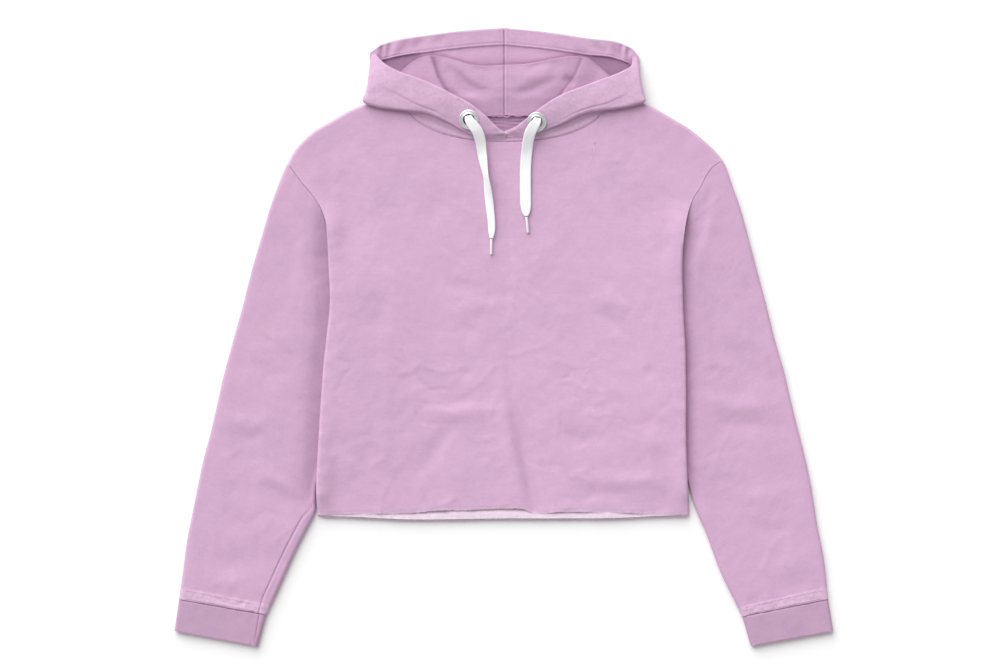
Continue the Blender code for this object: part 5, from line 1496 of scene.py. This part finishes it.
def tip_finish():
    """Smooth white film wound round the cord's end."""
    made = Finish("drawcord_tip")
    clouds = made.noise(made.place(), 700.0, 3.0)
    colour = made.mix(made.math("ADD", clouds, 0.5), (0.80, 0.78, 0.81), (0.93, 0.91, 0.94))
    return made.dress(colour, made.total(0.4, (clouds, 0.2)), clouds, 0.15, 0.3)


# Tints: the cloth's own, its cooler patches, and the paler one for worn edges and painted light
fleece = cloth_finish("fleece_face", (0.655, 0.415, 0.595), (0.625, 0.400, 0.580), (0.78, 0.58, 0.74))
# The hood's cloth has a darker tint for the shade painted in its pockets and folds
hood_fleece = cloth_finish("fleece_hood", (0.650, 0.408, 0.592), (0.615, 0.388, 0.567),
                           (0.77, 0.57, 0.73), seam_and_painted_shade_tint=(0.38, 0.215, 0.345))
brushed = cloth_finish("fleece_brushed", (0.74, 0.60, 0.71), (0.70, 0.56, 0.68), (0.86, 0.79, 0.85),
                       wale_depth=0.1, fluff=2.4, grain=0.09)
cuff_knit = cloth_finish("cuff_rib", (0.555, 0.350, 0.510), (0.525, 0.340, 0.490),
                         (0.62, 0.44, 0.59), wale=1.5, wale_depth=0.9)
thread = cloth_finish("sewing_thread", (0.60, 0.37, 0.55), (0.56, 0.34, 0.52), (0.7, 0.5, 0.66),
                      wale=0.5, wale_depth=0.3, fluff=0.4)
braid = braid_finish()
metal = metal_finish()
tip = tip_finish()


# ---------------- drawcord, first

CORD_STEP = 1.2  # spacing of the braid's rings along the cord
CORD_ROUND = 20  # points round it
CORD_SECTION = dict(wide=0.55, thick=0.7)  # powers that square the oval section up
# Furrows along both faces, as shares of the thickness and of the half width
CORD_DENT = dict(depth=0.34, place=0.42, width=0.13)
STRAND_RELIEF = 0.035
CORD_REACH = 150.0  # longest cord, which sets the number of rings
TIP_START = 0.4  # gap between the braid and its tip
TIP_SWELL = 1.12  # how much the tip is thicker than its solid
# Share of the tip's length, and its size there
TIP_PROFILE = [(0.0, 0.75), (0.01, 0.95), (0.05, 1.0), (0.09, 0.9), (0.12, 1.0), (0.5, 0.98),
               (0.86, 1.0), (0.90, 0.88), (0.94, 0.96), (0.985, 0.9), (1.0, 0.6)]


def cord_rings(side):
    """Points of the flat braid, ring by ring, with its map."""
    table = Table(CORD_COLUMNS, CORDS[side])
    last = len(CORDS[side]) - 1
    places = np.linspace(0.0, last, int(CORD_REACH / CORD_STEP))
    row = table.at(places)
    centre = np.stack([row[axis] for axis in "xyz"], -1)
    along = unit(np.gradient(centre, axis=0))
    across = unit(np.cross(along, (0.0, 0.0, 1.0)))
    up = np.cross(across, along)
    lean = np.radians(row["lean"])[:, None]
    across, up = (across * np.cos(lean) - up * np.sin(lean),
                  up * np.cos(lean) + across * np.sin(lean))
    run = np.concatenate(([0.0], np.cumsum(np.linalg.norm(np.diff(centre, axis=0), axis=1))))
    angles = np.linspace(0.0, 2 * pi, CORD_ROUND, endpoint=False)
    half = row["width"][:, None] / 2.0
    side_way = half * np.sign(np.cos(angles)) * np.abs(np.cos(angles)) ** CORD_SECTION["wide"]
    dented = 1.0 - CORD_DENT["depth"] * fade(np.abs(side_way) / half - CORD_DENT["place"],
                                             CORD_DENT["width"])
    strands = STRAND_RELIEF * np.sin(2 * pi * run[:, None] / STRAND_PITCH + 2.6 * np.abs(side_way))
    thick = CORD_THICKNESS / 2.0 * np.sign(np.sin(angles)) \
        * np.abs(np.sin(angles)) ** CORD_SECTION["thick"]
    thick = thick * dented + strands * np.sign(np.sin(angles))
    points = (centre[:, None] + across[:, None] * side_way[..., None]
              + up[:, None] * thick[..., None])
    cloth_map = np.stack(np.broadcast_arrays(side_way, run[:, None]), -1)
    return centre, points, cloth_map, run[-1]


def make_cord(side):
    """The braid, its middle line and its length."""
    centre, rings, cloth_map, length = cord_rings(side)
    made = ring_piece(f"drawcord_braid_{side}", rings, braid, [f"drawcord_{side}"], cloth_map)
    return made, centre, length


def make_tip(side):
    """Aglet: a slim tube with a rolled seam, crimped a little at both ends."""
    start, stop = (np.array(point) for point in AGLETS[side])
    along = (stop - start) / np.linalg.norm(stop - start)
    start = start + along * TIP_START
    across = unit(np.cross(along, (0.0, 0.0, 1.0)))
    up = np.cross(across, along)
    angles = np.linspace(0.0, 2 * pi, 18, endpoint=False)
    seam = 1.0 + 0.10 * fade(angles - 1.2, 0.25)
    points = []
    for share, size in TIP_PROFILE:
        radius = AGLET_RADIUS * TIP_SWELL * size * seam
        middle = start + (stop - start) * share
        points.append(middle + across * (radius * np.cos(angles))[:, None]
                      + up * (radius * np.sin(angles))[:, None])
    return ring_piece(f"drawcord_tip_{side}", np.array(points), tip, [f"aglet_{side}"])


for side in SIDES:
    cord, route, cord_length = make_cord(side)
    make_tip(side)


# ---------------- eyelets

EYELET_SEARCH = ((0.2, 0.9, 141), (9.5, 11.9, 241))  # across and along the band
EYELET_HOLE = dict(radius=7.8, depth=16.0, points=40)  # cut in the band
# Radius and height above the band, from the bore over both rings and back below
EYELET_PROFILE = [(6.6, -2.2), (6.35, 0.9), (6.4, 1.9), (6.8, 2.35), (7.4, 2.5), (8.0, 2.3),
                  (8.35, 1.7), (8.6, 1.15), (9.0, 1.05), (9.3, 1.5), (9.7, 1.95), (10.3, 2.1),
                  (10.9, 1.95), (11.35, 1.5), (11.5, 1.0), (11.2, 0.7), (7.4, 0.7), (7.3, -2.2)]


def eyelet_frame(side):
    """Where an eyelet sits: the band's point over its centre, turned to face out of the band."""
    band = Band(side)
    s, t = np.meshgrid(*(np.linspace(*span) for span in EYELET_SEARCH), indexing="ij")
    off = np.linalg.norm(band.point(s, t)[..., :2] - EYELETS[side], axis=-1).ravel()
    s, t = s.ravel()[[np.argmin(off)]], t.ravel()[[np.argmin(off)]]
    outward = Vector(band.facing(s, t)[0])
    turn = Vector((0.0, 0.0, 1.0)).rotation_difference(outward).to_matrix().to_4x4()
    return Matrix.Translation(Vector(band.point(s, t)[0])) @ turn


def make_eyelet(side):
    """A turned double ring, pressed through the band."""
    angles = np.linspace(0.0, 2 * pi, 64, endpoint=False)
    place = eyelet_frame(side)
    points = [[place @ Vector((radius * cos(a), radius * sin(a), height)) for a in angles]
              for radius, height in EYELET_PROFILE]
    return ring_piece(f"eyelet_ring_{side}", np.array(points), metal, [f"eyelet_{side}"],
                      joined=True)


for side in SIDES:
    make_eyelet(side)


# ---------------- body

front_panel, back_panel = BodyPanel(front=True), BodyPanel(front=False)
front = shell("front_panel", front_panel,
              spread((-1, -0.02, 8), (0.0, 0.04, 8), (0.04, 0.96, 172), (0.96, 1.0, 8), (1.02, 2, 8)),
              spread((-1, -0.02, 6), (0.0, 0.03, 6), (0.03, 0.97, 176), (0.97, 1.0, 8)),
              [fleece, brushed], ["front"], wall=front_panel.front_wall)
back = shell("back_panel", back_panel,
             spread((-1, -0.02, 8), (0.0, 0.04, 4), (0.04, 0.96, 70), (0.96, 1.0, 4), (1.02, 2, 8)),
             spread((-1, -0.02, 8), (0.0, 0.07, 26), (0.07, 0.97, 70), (0.97, 1.0, 8)),
             [fleece, brushed], ["back"], wall=back_panel.ribbed_wall)


# ---------------- sleeves and cuffs

sleeves, cuffs = {}, {}
for side in SIDES:
    ring = spread((0, 0.9, 40), (0.9, 0.96, 9), (0.96, 1, 3), (1, 2, 10), (2, 3, 34), (3, 4, 10))
    sleeves[side] = shell(f"sleeve_cloth_{side}", Sleeve(side), ring[:-1],
                          spread((0, 0.97, 150), (0.97, 1, 14)), [fleece, brushed],
                          [f"sleeve_{side}"], wall=SLEEVE_WALL, ring=True)
    ring = spread((0, 0.85, 36), (0.85, 1, 24), (1, 2, 10), (2, 3, 30), (3, 4, 10))
    cuffs[side] = shell(f"cuff_rib_{side}", Cuff(side), ring[:-1],
                        spread((0, 0.06, 4), (0.06, 0.94, 24), (0.94, 1, 4)),
                        [cuff_knit], [f"cuff_{side}"], wall=CUFF_WALL, ring=True)


# ---------------- hood

def eyelet_hole(side, cloth):
    """Cuts the round hole that the eyelet's barrel goes through."""
    bpy.ops.mesh.primitive_cylinder_add(vertices=EYELET_HOLE["points"],
                                        radius=EYELET_HOLE["radius"] * MM,
                                        depth=EYELET_HOLE["depth"] * MM)
    cutter = bpy.context.object
    place = eyelet_frame(side)
    cutter.matrix_world = Matrix.Translation(place.to_translation() * MM) \
        @ place.to_3x3().normalized().to_4x4()
    cut = cloth.modifiers.new("eyelet_hole", "BOOLEAN")
    cut.operation = "DIFFERENCE"
    cut.object = cutter
    graph = bpy.context.evaluated_depsgraph_get()
    cut_mesh = bpy.data.meshes.new_from_object(cloth.evaluated_get(graph))
    cloth.modifiers.clear()
    cloth.data = cut_mesh
    bpy.data.objects.remove(cutter)


hood_fronts, hood_backs, hood_folds = {}, {}, {}
for side in SIDES:
    band = Band(side)
    hood_fronts[side] = shell(f"hood_band_{side}", band,
                              spread((0, 0.1, 5), (0.1, 1, 46), (1, 2, 12), (2, 3, 10)),
                              spread((0, 2, 50), (2, band.rows, 150)), [hood_fleece, brushed],
                              [f"hood_front_{side}"], wall=band.wall)
    eyelet_hole(side, hood_fronts[side])
    hood_backs[side] = layer(f"hood_crown_{side}", HoodBack(side),
                             spread((0, 0.05, 8), (0.05, 0.6, 44), (0.6, 1, 80)),
                             spread((0, 0.05, 10), (0.05, 0.35, 36), (0.35, 1, 24)),
                             [hood_fleece], [f"hood_back_{side}"])
    hood_folds[side] = layer(f"hood_inside_{side}", InnerFold(side),
                             spread((0, 0.06, 9), (0.06, 0.93, 96), (0.93, 1, 12)),
                             spread((0, 0.10, 12), (0.10, 1, 50)),
                             [hood_fleece], [f"hood_fold_{side}"])


# ---------------- stitches, seams and raw edges

def nearest(plan, places):
    """Numbers of the plan points that are nearest to the places."""
    flat = plan.reshape(-1, 2)
    return [np.argmin(np.sum((flat - place) ** 2, -1)) for place in places]


def layer_line(shape, places):
    """Surface points over given plan points of a layer, found along its own grid."""
    t, s = np.meshgrid(np.linspace(0, 1, 90), np.linspace(0, 1, 90), indexing="ij")
    plan, top, _, _ = shape.surface(s, t)
    return np.column_stack((places, top.ravel()[nearest(plan, places)]))


up = np.array((0.0, 0.0, 1.0))
starts, stops = [], []


def sew(points, outward):
    """Adds a row of stitches, none of which sinks into the floor."""
    points[..., 2] = np.maximum(points[..., 2], STITCH["radius"])
    first, last = stitch_row(points, outward)
    starts.append(first)
    stops.append(last)


for side in SIDES:
    way = OUTWARD[side]
    crown, inside, band = HoodBack(side), InnerFold(side), Band(side)
    for shape, span in ((crown, CROWN_SEAM_SPAN), (inside, INSIDE_SEAM_SPAN)):
        y = np.linspace(*span, 40)
        places = np.column_stack((np.full(40, CENTRE_SEAM + way * SEAM_STITCH), y))
        sew(layer_line(shape, places), up)
    s = np.linspace(0.02, 0.96, 90)
    reach = np.linalg.norm(crown.brim.at(s) - crown.low_edge(s), axis=-1)
    t = (BRIM_WIDTH - BRIM_STITCH) / reach
    plan, top, _, _ = crown.surface(s, t)
    sew(stack(plan, top), up)
    t, s = np.meshgrid(np.linspace(3.0, 12.0, 150), np.linspace(0.2, 1.0, 60), indexing="ij")
    points, outward, _, _ = band.surface(s, t)
    places = Curve(CHANNEL[side]).at(np.linspace(0.06, 0.97, 110))
    near = nearest(points[..., :2], places)
    sew(np.column_stack((places, points[..., 2].ravel()[near])), outward.reshape(-1, 3)[near])
    sleeve = Sleeve(side)
    for off in (2.0, CUFF_STITCH_BAND - 1.5):
        s = np.linspace(0.03, 0.97, 90)
        t = np.full(90, 1.0 - off / sleeve.length)
        points, outward, _, _ = sleeve.surface(s, t)
        sew(points, outward)
        points, outward, _, _ = sleeve.surface(s + 2.0, t)
        sew(points, outward * 0.0)
spindles("seam_stitches", np.concatenate(starts), np.concatenate(stops), STITCH["radius"],
         thread)

rng = np.random.default_rng(7)
FIBRE_RADIUS = 0.14
FIBRE_SPAN = 211.0  # the hem's half width


def ragged(hem, height, reach, count, lean):
    """Loose fibres along a cut edge: their starts and stops."""
    x = rng.uniform(-FIBRE_SPAN, FIBRE_SPAN, count)
    edge = hem.at_x(x)
    root = height(x, edge[:, 1]) - rng.uniform(0.2, 1.7, count)
    start = np.column_stack((x, edge[:, 1] + 0.4, root))
    drop = rng.uniform(0.3, 1.0, count) * reach
    stop = start + np.column_stack((rng.normal(0.0, 0.8, count), -drop,
                                    rng.uniform(-0.6, 0.5, count) * lean))
    stop[:, 2] = np.maximum(stop[:, 2], 0.3)
    return start, stop


fibre_ends = [
    ragged(front_hem, lambda x, y: front_top(x, y + 1.0), 2.2, 1200, 1.0),
    ragged(back_hem, lambda x, y: back_underside(x, y + 1.0) + back_thickness(x, y), 2.8, 2600, 0.8),
]
spindles("raw_hem_fibres", np.concatenate([ends[0] for ends in fibre_ends]),
         np.concatenate([ends[1] for ends in fibre_ends]), FIBRE_RADIUS, brushed, sides=3)

# Overlocked neck seam, seen inside the opening: a low zigzag of thread over a bumpy edge
OVERLOCK = dict(start=-34.0, stop=40.0, step=0.9, height=5.6, radius=0.42)
x = np.arange(OVERLOCK["start"], OVERLOCK["stop"], OVERLOCK["step"])
neck_y = neckline(x, BACK_NECK_DROP) + 1.3 * uneven(x, 0 * x, 7.0, 211.0)
zigzag = np.where(np.arange(len(x)) % 2 == 0, -1.3, 1.1)
loops = np.column_stack((x, neck_y + zigzag,
                         OVERLOCK["height"] + 0.5 * uneven(x, 0 * x, 5.0, 223.0)))
spindles("neck_overlock", loops[:-1], loops[1:], OVERLOCK["radius"], thread)


# ---------------- floor, light

def sun(name, azimuth, height, spread_angle, power):
    """Wide soft light from a direction given in degrees."""
    light = bpy.data.lights.new(name, "SUN")
    light.angle = radians(spread_angle)
    light.energy = power
    made = bpy.data.objects.new(name, light)
    bpy.context.scene.collection.objects.link(made)
    way = Vector((cos(radians(azimuth)) * cos(radians(height)),
                  sin(radians(azimuth)) * cos(radians(height)), sin(radians(height))))
    made.location = way * 3.0
    made.rotation_euler = (-way).to_track_quat("-Z", "Y").to_euler()


paper = Finish("floor")
clouds = paper.noise(paper.place(), 3.0)
paper.put(paper.shader.inputs["Base Color"],
          paper.mix(paper.math("ADD", clouds, 0.5), (0.955, 0.955, 0.955), (0.965, 0.965, 0.965)))
paper.put(paper.shader.inputs["Roughness"], 0.9)
paper.put(paper.shader.inputs["Specular IOR Level"], 0.1)
bpy.ops.mesh.primitive_plane_add(size=12.0, location=(0.0, 0.0, -0.0004))
floor = bpy.context.object
floor.name = "floor"
floor.data.materials.append(paper.material)

world = bpy.data.worlds.new("studio")
world.use_nodes = True
sky = world.node_tree.nodes["Background"].inputs
sky["Color"].default_value = (1.0, 1.0, 1.0, 1.0)
sky["Strength"].default_value = 0.42
bpy.context.scene.world = world
sun("window", azimuth=116.0, height=37.0, spread_angle=62.0, power=3.42)
bpy.context.scene.view_settings.view_transform = "Standard"
bpy.context.scene.view_settings.look = "None"
